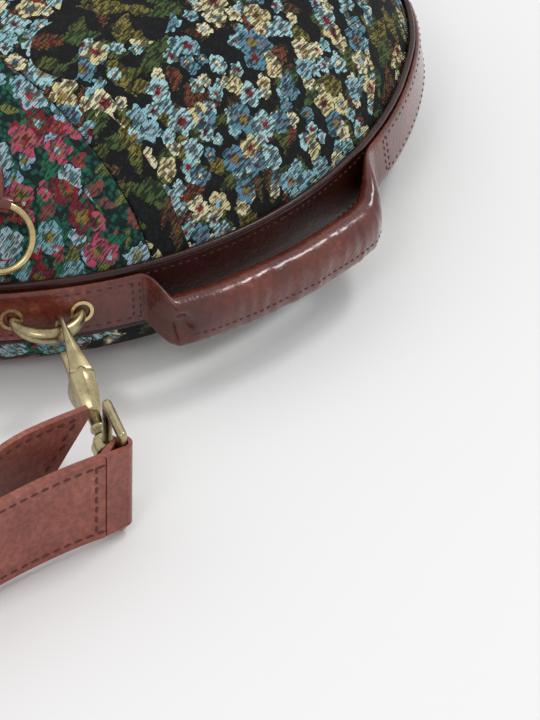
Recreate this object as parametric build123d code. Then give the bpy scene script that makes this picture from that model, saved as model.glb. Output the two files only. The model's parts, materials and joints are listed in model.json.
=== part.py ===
"""A tapestry travel bag lying on its back, with leather trim and a shoulder strap.

Frame in millimetres: X along the bag, the zipped top edge towards -Y, +Z up. The origin is the
middle of the flat part of the back face, which rests on the surface.
"""

from build123d import *
import math
import os

os.makedirs("parts", exist_ok=True)

# Bag outline, seen from above, at the middle of the band
BAG_LENGTH = 540.0
END_RADIUS = 190.0
END_HALF_ANGLE = 40.0
CORNER_RADIUS = 100.0

# Leather band round the bag, leaning a little outwards at its lower edge
BAND_LOW = 27.0
BAND_WIDTH = 22.0
BAND_LEAN = 3.4
BAND_THICKNESS = 2.2
BINDING_WIDTH = 2.8
BINDING_HEIGHT = 3.0

# Tapestry faces
PANEL_THICKNESS = 2.5
PANEL_HEM = 5.0
PANEL_GAP = 0.15
FRONT_INSET = 88.0
FRONT_START_ANGLE = 70.0
FRONT_SEAM_Y = -59.0
BACK_SEAM_Y = -85.0
LINING_THICKNESS = 0.8
LINING_INSET = 28.0
LINING_LOW = 2.8
LINING_HEIGHT = 75.0

# Zip in the top edge of the band
ZIP_LENGTH = 300.0
ZIP_SLOT = 10.0
TAPE_THICKNESS = 1.0
TAPE_LAP = 3.0
TAPE_HEM = 0.8
TEETH_GAP = 1.4
TOOTH_PITCH = 5.0
TOOTH_LENGTH = 2.4
TOOTH_DEPTH = 2.4
TOOTH_HEIGHT = 2.6
SLIDER_LENGTH = 10.0
SLIDER_HEIGHT = 9.0
SLIDER_PLATE = 1.4
SLIDER_CLEARANCE = 0.5
SLIDER_END_MARGIN = 14.0
PULL_LENGTH = 26.0
PULL_WIDTH = 5.0
PULL_THICKNESS = 1.6
PULL_PIN_DIAMETER = 1.8
BAIL_WALL = 1.2
PULL_WALL = 0.6
PULL_CLEARANCE = 0.5

# Side strap at each end: tabs on the band and the padded grip between them
STRAP_THICKNESS = 2.2
TAB_WIDTH = 21.0
TAB_END_ARC = 168.0
GRIP_FULL_ARC = 48.0
GRIP_ROOT_ARC = 66.0
GRIP_CORE_OUT = 16.2
GRIP_CORE_DIAMETER = 11.0
GRIP_CORE_GAP = 0.3
ROOT_FOLD = 2.5
RISE_SHARE = 0.67

# Eyelets and the half ring that hangs in them
RING_ANGLE = -32.65
EYELET_SPACING = 28.0
EYELET_OUTER = 9.6
EYELET_BORE = 6.8
EYELET_WALL = 0.5
EYELET_FLANGE = 0.9
EYELET_SEAT = 0.1
EYELET_BACK_FLANGE = 0.4
RING_REACH = 13.0
RING_DROP_ANGLE = 8.0
RING_MID_DIAMETER = 6.6
RING_END_DIAMETER = 3.4
RING_LEG_DIAMETER = 3.0
RING_LEG_DEPTH = 6.3
RING_STATIONS = 6

# Swivel snap hook, clipped into the half ring
HOOK_LENGTH = 68.6
HOOK_SLOPE = 11.0
HOOK_HEADING = -25.3
CROWN_FROM_RING = (6.32, 0.11, 0.1)
HOOK_THICKNESS = 5.0
HOOK_WALL = 3.2
HOOK_THROAT = 9.8
HOOK_BODY_START = 31.0
HOOK_BODY_END = 50.0
HOOK_SHOULDER = 9.4
SHOULDER_RUN = 4.0
BELLY_RUN = 8.0
NECK_LAP = 1.0
GATE_START = 12.5
GATE_THICKNESS = 2.8
GATE_WIDTH = 3.6
GATE_CLEARANCE = 0.4
GATE_PIN_DIAMETER = 2.0
GATE_PIN_BORE = 2.3
GATE_EYE_DIAMETER = 5.0
GATE_EYE_GAP = 1.0
NECK_DIAMETER = 5.6
COLLAR_DIAMETER = 8.4
COLLAR_THICKNESS = 2.0
STEM_DIAMETER = 4.0
STEM_CLEARANCE = 0.9
RIVET_DIAMETER = 8.0
RIVET_THICKNESS = 1.6

# Rectangular eye of the hook, standing upright in the strap's loop
EYE_LENGTH = 19.0
EYE_HEIGHT = 50.0
EYE_LIFT = 25.3
EYE_BAR = 4.0
EYE_BOSS_DIAMETER = 11.0
EYE_BOSS_LENGTH = 6.0
EYE_SLACK = 1.2

# Shoulder strap, standing on its edge in front of the top of the bag
SHOULDER_WIDTH = 40.0
SHOULDER_LIFT = 5.0
SHOULDER_THICKNESS = 2.6
SHORT_THICKNESS = 3.8
LOOP_THICKNESS = 1.6
LOOP_SLACK = 0.5
LOOP_HOLE_SHARE = 0.6
# Runs of the straps, from the upright bar of the eye that holds them: out, and along Y
SHORT_RUN = [
    (1.2, -10.7),
    (-2.4, -26.7),
    (-5.9, -57.7),
    (-7.4, -89.7),
]
LONG_START = [
    (-24.4, 4.3),
    (-28.4, -16.7),
    (-28.9, -36.7),
    (-20.4, -56.7),
    (-11.8, -68.7),
    (-11.1, -76.7),
    (-12.0, -88.7),
    (-13.8, -100.7),
    (-8.8, -110.7),
    (-2.0, -121.7),
    (-1.8, -136.7),
    (-18.4, -164.7),
    (-48.4, -178.7),
]
LONG_END = [
    (-48.4, -178.7),
    (-16.4, -162.7),
    (-4.4, -122.7),
    (-5.9, -57.7),
    (-2.4, -26.7),
    (1.2, -10.7),
]
# Middle run of the long strap: share of the way to the eye, and along Y
LONG_MIDDLE = [(0.62, -178.2), (0.0, -179.7), (-0.62, -178.2)]
TONGUE_SLANT = 25.0
BUCKLE_OUT = -7.4
BUCKLE_RUN = -100.7
BUCKLE_LENGTH = 22.0
BUCKLE_BAR = 4.0
PRONG_WIDTH = 3.0
PRONG_THICKNESS = 2.0
PRONG_CLEARANCE = 0.3
PRONG_SLOT = 4.6
SLOT_LAP = 1.0
KEEPER_RUN = -76.7
KEEPER_WIDTH = 12.0
KEEPER_THICKNESS = 1.8
KEEPER_CLEARANCE = 0.4
KEEPER_IN = -15.4
KEEPER_OUT = -4.0

# Carry handles, one on each face, on brass rings held by leather chapes
CARRY_RING_RADIUS = 13.5
CARRY_RING_WIRE = 3.0
CARRY_RING_ANGLE = -36.0
CARRY_RING_INSET = 13.0
CARRY_RING_STANDOFF = 3.0
BACK_RING_FROM_CORNER = 14.0
BACK_RING_OUT = 19.1
BACK_RING_Z = 9.0
CHAPE_WIDTH = 18.0
CHAPE_THICKNESS = 2.0
CHAPE_GAP = 0.3
CHAPE_ARC = 16.0
BACK_CHAPE_LOW = -75.0
BACK_CHAPE_HIGH = -12.0
BACK_TONGUE_LAP = 5.0
TONGUE_WIDTH = 12.0
LOOP_HOLE = 4.0
LOOP_OUTER = 7.2
LOOP_HALF_ARC = 24.0
HANDLE_DIAMETER = 12.0
HANDLE_NECK = 12.0
# Runs of the handles: share of the way out to the ring, then along Y and up from the ring
FRONT_HANDLE_RUN = [
    (0.885, -7.5, 27.2),
    (0.759, -19.5, 34.2),
    (0.000, -61.5, 39.2),
]
BACK_HANDLE_RUN = [
    (0.949, -45.0, 0.0),
    (0.519, -75.0, 0.0),
    (0.000, -85.0, 0.0),
]

# Worked out from the sizes above
BAND_TOP = BAND_LOW + BAND_WIDTH
BAND_MID = BAND_LOW + BAND_WIDTH / 2
END_CENTRE_X = BAG_LENGTH / 2 - END_RADIUS
CORNER_X = END_CENTRE_X + (END_RADIUS - CORNER_RADIUS) * math.cos(math.radians(END_HALF_ANGLE))
CORNER_Y = (END_RADIUS - CORNER_RADIUS) * math.sin(math.radians(END_HALF_ANGLE))
HALF_HEIGHT = CORNER_Y + CORNER_RADIUS
END_ARC = END_RADIUS * math.radians(END_HALF_ANGLE)
CORNER_ARC = CORNER_RADIUS * math.radians(90 - END_HALF_ANGLE)
TOP_MIDDLE_ARC = -(END_ARC + CORNER_ARC + CORNER_X)


def outline_segments():
    """The outline from the middle of the right end, counter-clockwise, as arcs and straights.

    An arc is (length, centre, radius, start angle, sweep); a straight is
    (length, start point, direction angle).
    """
    corner = 90 - END_HALF_ANGLE
    side = 2 * CORNER_X
    half_end = END_HALF_ANGLE
    return [
        ("arc", END_ARC, (END_CENTRE_X, 0), END_RADIUS, 0, half_end),
        ("arc", CORNER_ARC, (CORNER_X, CORNER_Y), CORNER_RADIUS, half_end, corner),
        ("line", side, (CORNER_X, HALF_HEIGHT), 0, 180, 0),
        ("arc", CORNER_ARC, (-CORNER_X, CORNER_Y), CORNER_RADIUS, 90, corner),
        ("arc", 2 * END_ARC, (-END_CENTRE_X, 0), END_RADIUS, 180 - half_end, 2 * half_end),
        ("arc", CORNER_ARC, (-CORNER_X, -CORNER_Y), CORNER_RADIUS, 180 + half_end, corner),
        ("line", side, (-CORNER_X, -HALF_HEIGHT), 0, 0, 0),
        ("arc", CORNER_ARC, (CORNER_X, -CORNER_Y), CORNER_RADIUS, 270, corner),
        ("arc", END_ARC, (END_CENTRE_X, 0), END_RADIUS, 360 - half_end, half_end),
    ]


PERIMETER = sum(segment[1] for segment in outline_segments())


def swept(section, start=0.0, end=None):
    """Sweeps a flat section, drawn as (outward, up), along the outline from start to end."""
    end = PERIMETER if end is None else end
    pieces = []
    for lap in (-PERIMETER, 0.0):
        done = lap
        for kind, length, place, radius, angle, sweep in outline_segments():
            low = max(start, done)
            high = min(end, done + length)
            if high - low > 1e-6:
                if kind == "arc":
                    first = angle + sweep * (low - done) / length
                    turn = sweep * (high - low) / length
                    out = Vector(math.cos(math.radians(first)), math.sin(math.radians(first)), 0)
                    centre = Vector(place[0], place[1], 0)
                    plane = Plane(origin=centre + out * radius, x_dir=out, z_dir=out.cross(Vector(0, 0, 1)))
                    axis = Axis((place[0], place[1], 0), (0, 0, 1))
                    pieces.append(revolve(plane * section, axis=axis, revolution_arc=turn))
                else:
                    along = Vector(math.cos(math.radians(angle)), math.sin(math.radians(angle)), 0)
                    out = along.cross(Vector(0, 0, 1))
                    origin = Vector(place[0], place[1], 0) + along * (low - done)
                    plane = Plane(origin=origin, x_dir=out, z_dir=along * -1)
                    pieces.append(extrude(plane * section, amount=high - low, dir=along))
            done += length
    whole = pieces[0]
    for piece in pieces[1:]:
        whole = whole + piece
    return whole


def inner_plate(inset, low, thickness):
    """A flat plate inside the outline, at the given inset."""
    end = END_RADIUS - inset
    corner = CORNER_RADIUS - inset
    edges = []
    for kind, length, place, radius, angle, sweep in outline_segments():
        if kind == "arc":
            size = end if radius == END_RADIUS else corner
            edges.append(CenterArc((place[0], place[1]), size, angle, sweep))
        else:
            along = Vector(math.cos(math.radians(angle)), math.sin(math.radians(angle)), 0)
            out = along.cross(Vector(0, 0, 1))
            first = Vector(place[0], place[1], 0) - out * inset
            edges.append(Line(first, first + along * length))
    face = make_face(Wire(edges))
    return Pos(0, 0, low) * extrude(face, amount=thickness, dir=(0, 0, 1))


def polygon(*points):
    """A flat face through the points, in order."""
    return make_face(Polyline(*points, close=True))


def band_out(z):
    """How far out the band's outer face stands at a height, because it leans."""
    return BAND_LEAN * (BAND_MID - z) / BAND_WIDTH


def block(low, high):
    """A box between two corners."""
    size = [b - a for a, b in zip(low, high)]
    middle = [(a + b) / 2 for a, b in zip(low, high)]
    return Pos(*middle) * Box(*size)


BIG = 2000.0
NODES = {}


def keep(name, shape):
    """Stores a finished node."""
    NODES[name] = shape


def both_ends(name, shape):
    """Stores a node at the right end and its mirror image at the left end."""
    keep("right_" + name, shape)
    keep("left_" + name, mirror(shape, about=Plane.YZ))


# Tapestry faces: a swept shell that ends in a flat middle, cut at the seam between two fabrics
FRONT_RADIUS = FRONT_INSET / math.sin(math.radians(FRONT_START_ANGLE))
FRONT_RISE = FRONT_RADIUS * (1 - math.cos(math.radians(FRONT_START_ANGLE)))
FRONT_EDGE = band_out(BAND_TOP) - BAND_THICKNESS - PANEL_GAP
BACK_EDGE = band_out(BAND_LOW) - BAND_THICKNESS - PANEL_GAP
FRONT_TOP = BAND_TOP + FRONT_RISE
FRONT_CENTRE = (FRONT_EDGE - FRONT_INSET, FRONT_TOP - FRONT_RADIUS)
BACK_RADIUS = BAND_LOW
BACK_CENTRE = (BACK_EDGE - BACK_RADIUS, BACK_RADIUS)
HEM_SHIFT = BAND_LEAN * PANEL_HEM / BAND_WIDTH


def front_panel_section():
    """The front face's strip: a hem inside the band, then an arc to the flat middle."""
    edge = FRONT_EDGE
    inner = edge - PANEL_THICKNESS
    inner_radius = FRONT_RADIUS - PANEL_THICKNESS
    outer_angle = 90 - FRONT_START_ANGLE
    inner_angle = math.degrees(math.acos((inner - FRONT_CENTRE[0]) / inner_radius))
    inner_z = FRONT_CENTRE[1] + inner_radius * math.sin(math.radians(inner_angle))
    low = BAND_TOP - PANEL_HEM
    lines = [
        Line((edge + HEM_SHIFT, low), (edge, BAND_TOP)),
        CenterArc(FRONT_CENTRE, FRONT_RADIUS, outer_angle, 90 - outer_angle),
        Line((FRONT_CENTRE[0], FRONT_TOP), (FRONT_CENTRE[0], FRONT_TOP - PANEL_THICKNESS)),
        CenterArc(FRONT_CENTRE, inner_radius, inner_angle, 90 - inner_angle),
        Line((inner, inner_z), (inner + HEM_SHIFT, low)),
        Line((inner + HEM_SHIFT, low), (edge + HEM_SHIFT, low)),
    ]
    return make_face(Wire(lines))


def back_panel_section():
    """The back face's strip: a hem inside the band, then a quarter round to the flat back."""
    edge = BACK_EDGE
    inner = edge - PANEL_THICKNESS
    high = BAND_LOW + PANEL_HEM
    middle = BACK_CENTRE[0]
    lines = [
        Line((edge - HEM_SHIFT, high), (edge, BAND_LOW)),
        CenterArc(BACK_CENTRE, BACK_RADIUS, -90, 90),
        Line((middle, 0), (middle, PANEL_THICKNESS)),
        CenterArc(BACK_CENTRE, BACK_RADIUS - PANEL_THICKNESS, -90, 90),
        Line((inner, BAND_LOW), (inner - HEM_SHIFT, high)),
        Line((inner - HEM_SHIFT, high), (edge - HEM_SHIFT, high)),
    ]
    return make_face(Wire(lines))


front_face = swept(front_panel_section()) + inner_plate(
    FRONT_INSET - FRONT_EDGE, FRONT_TOP - PANEL_THICKNESS, PANEL_THICKNESS
)
back_face = swept(back_panel_section()) + inner_plate(BACK_RADIUS - BACK_EDGE, 0, PANEL_THICKNESS)
keep("front_main_panel", front_face & block((-BIG, FRONT_SEAM_Y, -BIG), (BIG, BIG, BIG)))
keep("front_yoke_panel", front_face & block((-BIG, -BIG, -BIG), (BIG, FRONT_SEAM_Y, BIG)))
keep("back_main_panel", back_face & block((-BIG, BACK_SEAM_Y, -BIG), (BIG, BIG, BIG)))
keep("back_yoke_panel", back_face & block((-BIG, -BIG, -BIG), (BIG, BACK_SEAM_Y, BIG)))


def leaning(low, high, standoff, thickness):
    """A strip's section between two heights, standing off the band's outer face."""
    return polygon(
        (band_out(low) + standoff, low),
        (band_out(low) + standoff + thickness, low),
        (band_out(high) + standoff + thickness, high),
        (band_out(high) + standoff, high),
    )


# Band, with the zip's slot in its top edge, and the bindings along its two rims
slot_low = BAND_MID - ZIP_SLOT / 2
slot_high = BAND_MID + ZIP_SLOT / 2
slot = block(
    (-ZIP_LENGTH / 2, -BIG, slot_low), (ZIP_LENGTH / 2, -HALF_HEIGHT + CORNER_RADIUS, slot_high)
)
band = swept(leaning(BAND_LOW, BAND_TOP, -BAND_THICKNESS, BAND_THICKNESS)) - slot
binding_section = leaning(BAND_TOP, BAND_TOP + BINDING_HEIGHT, -BAND_THICKNESS, BINDING_WIDTH)
keep("front_rim_binding", swept(binding_section))
binding_section = leaning(BAND_LOW - BINDING_HEIGHT, BAND_LOW, -BAND_THICKNESS, BINDING_WIDTH)
keep("back_rim_binding", swept(binding_section))

# Lining: a loose inner bag, open at the zip
lining = inner_plate(LINING_INSET, LINING_LOW, LINING_HEIGHT)
lining -= inner_plate(
    LINING_INSET + LINING_THICKNESS,
    LINING_LOW + LINING_THICKNESS,
    LINING_HEIGHT - 2 * LINING_THICKNESS,
)
keep("lining", lining - slot)

# Zip: two tapes joined at the ends, a row of teeth and a slider with its pull
tape_half = ZIP_LENGTH / 2 + TAPE_LAP
tape_off = -BAND_THICKNESS - PANEL_GAP - TAPE_THICKNESS


def along_top(section, low, high):
    """Sweeps an (outward, up) section along the top edge, between distances from its middle."""
    return swept(section, TOP_MIDDLE_ARC + low, TOP_MIDDLE_ARC + high)


tapes = along_top(leaning(slot_low - TAPE_HEM, BAND_MID - TEETH_GAP / 2, tape_off, TAPE_THICKNESS),
                  -tape_half, tape_half)
tapes += along_top(leaning(BAND_MID + TEETH_GAP / 2, slot_high + TAPE_HEM, tape_off, TAPE_THICKNESS),
                   -tape_half, tape_half)
for side in (-1, 1):
    low = min(side * tape_half, side * (tape_half - TAPE_LAP))
    tapes += along_top(
        leaning(slot_low - TAPE_HEM, slot_high + TAPE_HEM, tape_off, TAPE_THICKNESS),
        low,
        low + TAPE_LAP,
    )
keep("zip_tape", tapes)

teeth_out = tape_off + TAPE_THICKNESS
row_half = ZIP_LENGTH / 2 - TAPE_LAP
teeth = along_top(
    leaning(BAND_MID - TOOTH_LENGTH / 2, BAND_MID + TOOTH_LENGTH / 2, teeth_out, TOOTH_DEPTH / 2),
    -row_half,
    row_half,
)
teeth_count = int(2 * row_half / TOOTH_PITCH)
for i in range(teeth_count):
    x = -row_half + (i + 0.25) * TOOTH_PITCH
    high_side = TOOTH_HEIGHT if i % 2 else TOOTH_LENGTH / 2
    low_side = TOOTH_LENGTH / 2 if i % 2 else TOOTH_HEIGHT
    tooth = leaning(BAND_MID - low_side, BAND_MID + high_side, teeth_out, TOOTH_DEPTH)
    teeth += along_top(tooth, x, x + TOOTH_PITCH / 2)
keep("zip_teeth", teeth)

slider_x = row_half - SLIDER_END_MARGIN
slider_out = teeth_out + TOOTH_DEPTH + SLIDER_CLEARANCE
slider_start = slider_x - SLIDER_LENGTH / 2
slider_end = slider_x + SLIDER_LENGTH / 2
half_slider = SLIDER_HEIGHT / 2
slider = along_top(
    leaning(BAND_MID - half_slider, BAND_MID + half_slider, slider_out, SLIDER_PLATE),
    slider_start,
    slider_end,
)
wall_start = teeth_out + SLIDER_CLEARANCE
wall_depth = slider_out - wall_start + SLIDER_PLATE
for low in (-half_slider, half_slider - SLIDER_PLATE):
    slider += along_top(
        leaning(BAND_MID + low, BAND_MID + low + SLIDER_PLATE, wall_start, wall_depth),
        slider_start,
        slider_end,
    )
bail_out = slider_out + SLIDER_PLATE
pin_out = bail_out + PULL_PIN_DIAMETER + PULL_CLEARANCE
pin_y = -HALF_HEIGHT - pin_out
bail_top = pin_out + PULL_PIN_DIAMETER / 2 + BAIL_WALL
bail_half = PULL_WIDTH / 2 + PULL_CLEARANCE
bail_foot_y = -HALF_HEIGHT - slider_out - SLIDER_PLATE / 2
for side in (-1, 1):
    low = min(side * bail_half, side * (bail_half + BAIL_WALL))
    slider += block(
        (slider_x - PULL_PIN_DIAMETER, -HALF_HEIGHT - bail_top, BAND_MID + low),
        (slider_x + PULL_PIN_DIAMETER, bail_foot_y, BAND_MID + low + BAIL_WALL),
    )
pin_length = 2 * (bail_half + BAIL_WALL)
slider += Pos(slider_x, pin_y, BAND_MID) * Cylinder(PULL_PIN_DIAMETER / 2, pin_length)
keep("zip_slider", slider)

pull_hole = PULL_PIN_DIAMETER / 2 + PANEL_GAP
pull = Pos(slider_x, pin_y, BAND_MID) * Cylinder(pull_hole + PULL_WALL, PULL_WIDTH)
pull += block(
    (slider_x - PULL_LENGTH, pin_y - PULL_THICKNESS / 2, BAND_MID - PULL_WIDTH / 2),
    (slider_x, pin_y + PULL_THICKNESS / 2, BAND_MID + PULL_WIDTH / 2),
)
pull -= Pos(slider_x, pin_y, BAND_MID) * Cylinder(pull_hole, PULL_WIDTH * 2)
keep("zip_pull", pull)

# Side straps: a tab along the band, a raised padded grip, and a tab again
def band_frame(arc, standoff=0.0):
    """A plane across the right end at an arc length, x outward and y up."""
    angle = math.radians(math.degrees(arc / END_RADIUS))
    out = Vector(math.cos(angle), math.sin(angle), 0)
    origin = Vector(END_CENTRE_X, 0, 0) + out * (END_RADIUS + standoff)
    return Plane(origin=origin, x_dir=out, z_dir=out.cross(Vector(0, 0, 1)))


# Padded grip's section: out from the band's line, and up
GRIP_SECTION = [
    (10.0, 45.0),
    (16.0, 46.8),
    (22.0, 44.5),
    (24.8, 38.0),
    (24.0, 30.0),
    (22.5, 22.5),
    (18.0, 22.5),
    (11.0, 31.0),
    (8.0, 38.0),
]
tab_low = BAND_MID - TAB_WIDTH / 2
tab_high = BAND_MID + TAB_WIDTH / 2
fold_low = tab_low + ROOT_FOLD
root_heights = [tab_high, tab_high, tab_high, BAND_MID, fold_low, tab_low, tab_low, fold_low, BAND_MID]
root_offs = [0.0, 0.5, 1.0, 1.0, 1.0, 1.0, 0.0, 0.0, 0.0]
root_section = [
    (band_out(z) + PANEL_GAP + off * STRAP_THICKNESS, z) for z, off in zip(root_heights, root_offs)
]
half_section = [
    (root[0] * (1 - RISE_SHARE) + full[0] * RISE_SHARE, root[1] * (1 - RISE_SHARE) + full[1] * RISE_SHARE)
    for root, full in zip(root_section, GRIP_SECTION)
]
tab_section = leaning(tab_low, tab_high, PANEL_GAP, STRAP_THICKNESS)
strap = swept(polygon(*GRIP_SECTION), -GRIP_FULL_ARC, GRIP_FULL_ARC)
core_place = Pos(GRIP_CORE_OUT, BAND_MID) * Circle(GRIP_CORE_DIAMETER / 2 + GRIP_CORE_GAP)
core_arc = GRIP_FULL_ARC - GRIP_CORE_GAP
strap -= swept(core_place, -core_arc, core_arc)
for side in (-1, 1):
    stations = [
        (side * GRIP_FULL_ARC, GRIP_SECTION),
        (side * (GRIP_FULL_ARC + GRIP_ROOT_ARC) / 2, half_section),
        (side * GRIP_ROOT_ARC, root_section),
    ]
    faces = [band_frame(arc) * polygon(*points) for arc, points in stations]
    strap += loft(faces, ruled=True)
    low = min(side * GRIP_ROOT_ARC, side * TAB_END_ARC)
    strap += swept(tab_section, low, low + TAB_END_ARC - GRIP_ROOT_ARC)
core = Pos(GRIP_CORE_OUT, BAND_MID) * Circle(GRIP_CORE_DIAMETER / 2)
both_ends("grip_core", swept(core, -core_arc + GRIP_CORE_GAP, core_arc - GRIP_CORE_GAP))

# Eyelets, each square to the band where it sits
eyelets = []
bores = []
lean_angle = math.degrees(math.atan2(BAND_LEAN, BAND_WIDTH))
for offset in (-EYELET_SPACING / 2, EYELET_SPACING / 2):
    seat = PANEL_GAP + STRAP_THICKNESS + EYELET_SEAT
    angle = math.radians(RING_ANGLE + math.degrees(offset / END_RADIUS))
    out = Vector(math.cos(angle), math.sin(angle), 0)
    rise = math.radians(lean_angle)
    normal = out * math.cos(rise) + Vector(0, 0, math.sin(rise))
    side_dir = Vector(-math.sin(angle), math.cos(angle), 0)
    origin = Vector(END_CENTRE_X, 0, BAND_MID) + out * (END_RADIUS + seat)
    plane = Plane(origin=origin, x_dir=side_dir, z_dir=normal)
    depth = seat + BAND_THICKNESS + EYELET_SEAT
    tube = Circle(EYELET_BORE / 2 + EYELET_WALL)
    eyelet = extrude(plane * Circle(EYELET_OUTER / 2), amount=EYELET_FLANGE)
    eyelet += extrude(plane * tube, amount=-depth - EYELET_BACK_FLANGE)
    back = plane.offset(-depth)
    eyelet += extrude(back * Circle(EYELET_OUTER / 2), amount=-EYELET_BACK_FLANGE)
    eyelet -= extrude(plane * Circle(EYELET_BORE / 2), amount=3 * depth, both=True)
    eyelets.append(eyelet)
    hole = Circle(EYELET_BORE / 2 + EYELET_WALL + EYELET_SEAT)
    bores.append(extrude(plane * hole, amount=2 * depth, both=True))
for bore in bores:
    strap -= bore
    band = band - bore - mirror(bore, about=Plane.YZ)
both_ends("side_strap", strap)
keep("gusset_band", band)
both_ends("eyelet_upper", eyelets[1])
both_ends("eyelet_lower", eyelets[0])

# Half ring: a bow that thickens to its middle, two legs through the eyelets, a bar behind
ring_turn = math.radians(RING_ANGLE)
drop = math.radians(RING_DROP_ANGLE)
ring_out = Vector(math.cos(ring_turn), math.sin(ring_turn), 0)
ring_origin = Vector(END_CENTRE_X, 0, BAND_MID) + ring_out * END_RADIUS
ring_along = Vector(-math.sin(ring_turn), math.cos(ring_turn), 0)
ring_down = ring_out * math.cos(drop) - Vector(0, 0, math.sin(drop))
ring_plane = Plane(origin=ring_origin, x_dir=ring_along, z_dir=ring_along.cross(ring_down))
ring_half = EYELET_SPACING / 2
sections = []
for i in range(RING_STATIONS + 1):
    t = math.pi * i / RING_STATIONS
    radius = RING_END_DIAMETER / 2 + (RING_MID_DIAMETER - RING_END_DIAMETER) / 2 * math.sin(t)
    centre = Vector(ring_half * math.cos(t), RING_REACH * math.sin(t), 0)
    tangent = Vector(-ring_half * math.sin(t), RING_REACH * math.cos(t), 0)
    local = Plane(origin=centre, x_dir=(0, 0, 1), z_dir=tangent)
    sections.append(local * Circle(radius))
ring = loft(sections)
leg = RING_LEG_DIAMETER / 2
for side in (-1, 1):
    foot = Plane(origin=(side * ring_half, 0, 0), x_dir=(1, 0, 0), z_dir=(0, -1, 0))
    ring += extrude(foot * Circle(leg), amount=RING_LEG_DEPTH)
    ring += Pos(side * ring_half, -RING_LEG_DEPTH, 0) * Sphere(leg)
bar = Plane(origin=(-ring_half, -RING_LEG_DEPTH, 0), x_dir=(0, 1, 0), z_dir=(1, 0, 0))
ring += extrude(bar * Circle(leg), amount=EYELET_SPACING)
both_ends("half_ring", ring_plane.location * ring)

# Swivel hook: local x from the crown to the eye, y up, z sideways
heading = math.radians(HOOK_HEADING)
slope = math.radians(HOOK_SLOPE)
hook_flat = Vector(math.cos(heading), math.sin(heading), 0)
hook_dir = hook_flat * math.cos(slope) - Vector(0, 0, math.sin(slope))
hook_side = hook_flat.cross(Vector(0, 0, 1))
hook_crown = ring_origin + Vector(*CROWN_FROM_RING)
hook_place = Plane(origin=hook_crown, x_dir=hook_dir, z_dir=hook_side).location
reach = HOOK_THROAT / 2 + HOOK_WALL
throat = HOOK_THROAT / 2
profile = Pos(reach, 0) * Circle(reach)
profile += Pos((reach + HOOK_BODY_START) / 2, reach - HOOK_WALL / 2) * Rectangle(
    HOOK_BODY_START - reach, HOOK_WALL
)
profile += Pos((reach + GATE_START) / 2, -reach + HOOK_WALL / 2) * Rectangle(
    GATE_START - reach, HOOK_WALL
)
profile -= Pos(reach, 0) * Circle(throat)
profile -= Pos((reach + HOOK_BODY_START) / 2, 0) * Rectangle(HOOK_BODY_START - reach, HOOK_THROAT)
profile -= Pos((GATE_START + HOOK_BODY_START) / 2, -reach / 2) * Rectangle(
    HOOK_BODY_START - GATE_START, reach
)
hook = Pos(0, 0, -HOOK_THICKNESS / 2) * extrude(profile, amount=HOOK_THICKNESS)
body = polygon(
    (HOOK_BODY_START - NECK_LAP, reach - HOOK_WALL),
    (HOOK_BODY_START - NECK_LAP, reach),
    (HOOK_BODY_START + SHOULDER_RUN, reach),
    (HOOK_BODY_END, NECK_DIAMETER / 2 + NECK_LAP),
    (HOOK_BODY_END, -NECK_DIAMETER / 2 - NECK_LAP),
    (HOOK_BODY_START + BELLY_RUN, -reach),
    (HOOK_BODY_START, -reach),
    (HOOK_BODY_START, reach - HOOK_WALL),
)
hook += Pos(0, 0, -HOOK_SHOULDER / 2) * extrude(body, amount=HOOK_SHOULDER)
notch = GATE_WIDTH / 2 + GATE_CLEARANCE
pin_at = (HOOK_BODY_START + GATE_EYE_DIAMETER / 2 + GATE_EYE_GAP, -reach + GATE_EYE_DIAMETER / 2)
notch_end = pin_at[0] + GATE_EYE_DIAMETER / 2 + GATE_CLEARANCE
notch_top = pin_at[1] + GATE_EYE_DIAMETER / 2 + GATE_EYE_GAP
hook -= block(
    (HOOK_BODY_START - NECK_LAP, -reach - NECK_LAP, -notch),
    (notch_end, notch_top, notch),
)
hook -= Pos(*pin_at, 0) * Cylinder(GATE_PIN_DIAMETER / 2, 3 * HOOK_SHOULDER)
collar_end = HOOK_LENGTH - EYE_BOSS_LENGTH / 2 - EYE_SLACK
rivet_start = HOOK_LENGTH + EYE_BOSS_LENGTH / 2 + EYE_SLACK


def axial(start, end, diameter):
    """A round bar along the hook's axis."""
    plane = Plane(origin=(start, 0, 0), x_dir=(0, 1, 0), z_dir=(1, 0, 0))
    return extrude(plane * Circle(diameter / 2), amount=end - start)


hook += axial(HOOK_BODY_END - NECK_LAP, collar_end, NECK_DIAMETER)
hook += axial(collar_end - COLLAR_THICKNESS, collar_end, COLLAR_DIAMETER)
hook += axial(collar_end, rivet_start, STEM_DIAMETER)
hook += axial(rivet_start, rivet_start + RIVET_THICKNESS, RIVET_DIAMETER)
both_ends("hook_body", hook_place * hook)
both_ends("gate_pin", hook_place * Pos(*pin_at, 0) * Cylinder(GATE_PIN_DIAMETER / 2, HOOK_SHOULDER))

gate = Pos(*pin_at) * Circle(GATE_EYE_DIAMETER / 2)
gate_first = GATE_START + GATE_CLEARANCE
gate += Pos((gate_first + pin_at[0]) / 2, -reach + GATE_THICKNESS / 2) * Rectangle(
    pin_at[0] - gate_first, GATE_THICKNESS
)
gate -= Pos(*pin_at) * Circle(GATE_PIN_BORE / 2)
both_ends("hook_gate", hook_place * Pos(0, 0, -GATE_WIDTH / 2) * extrude(gate, amount=GATE_WIDTH))

# Eye: an upright rectangle of round bar with a boss for the stem
top_bar = hook_crown + hook_dir * HOOK_LENGTH
strap_bar = top_bar + hook_flat * EYE_LENGTH
half_eye = (EYE_HEIGHT - EYE_BAR) / 2


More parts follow.
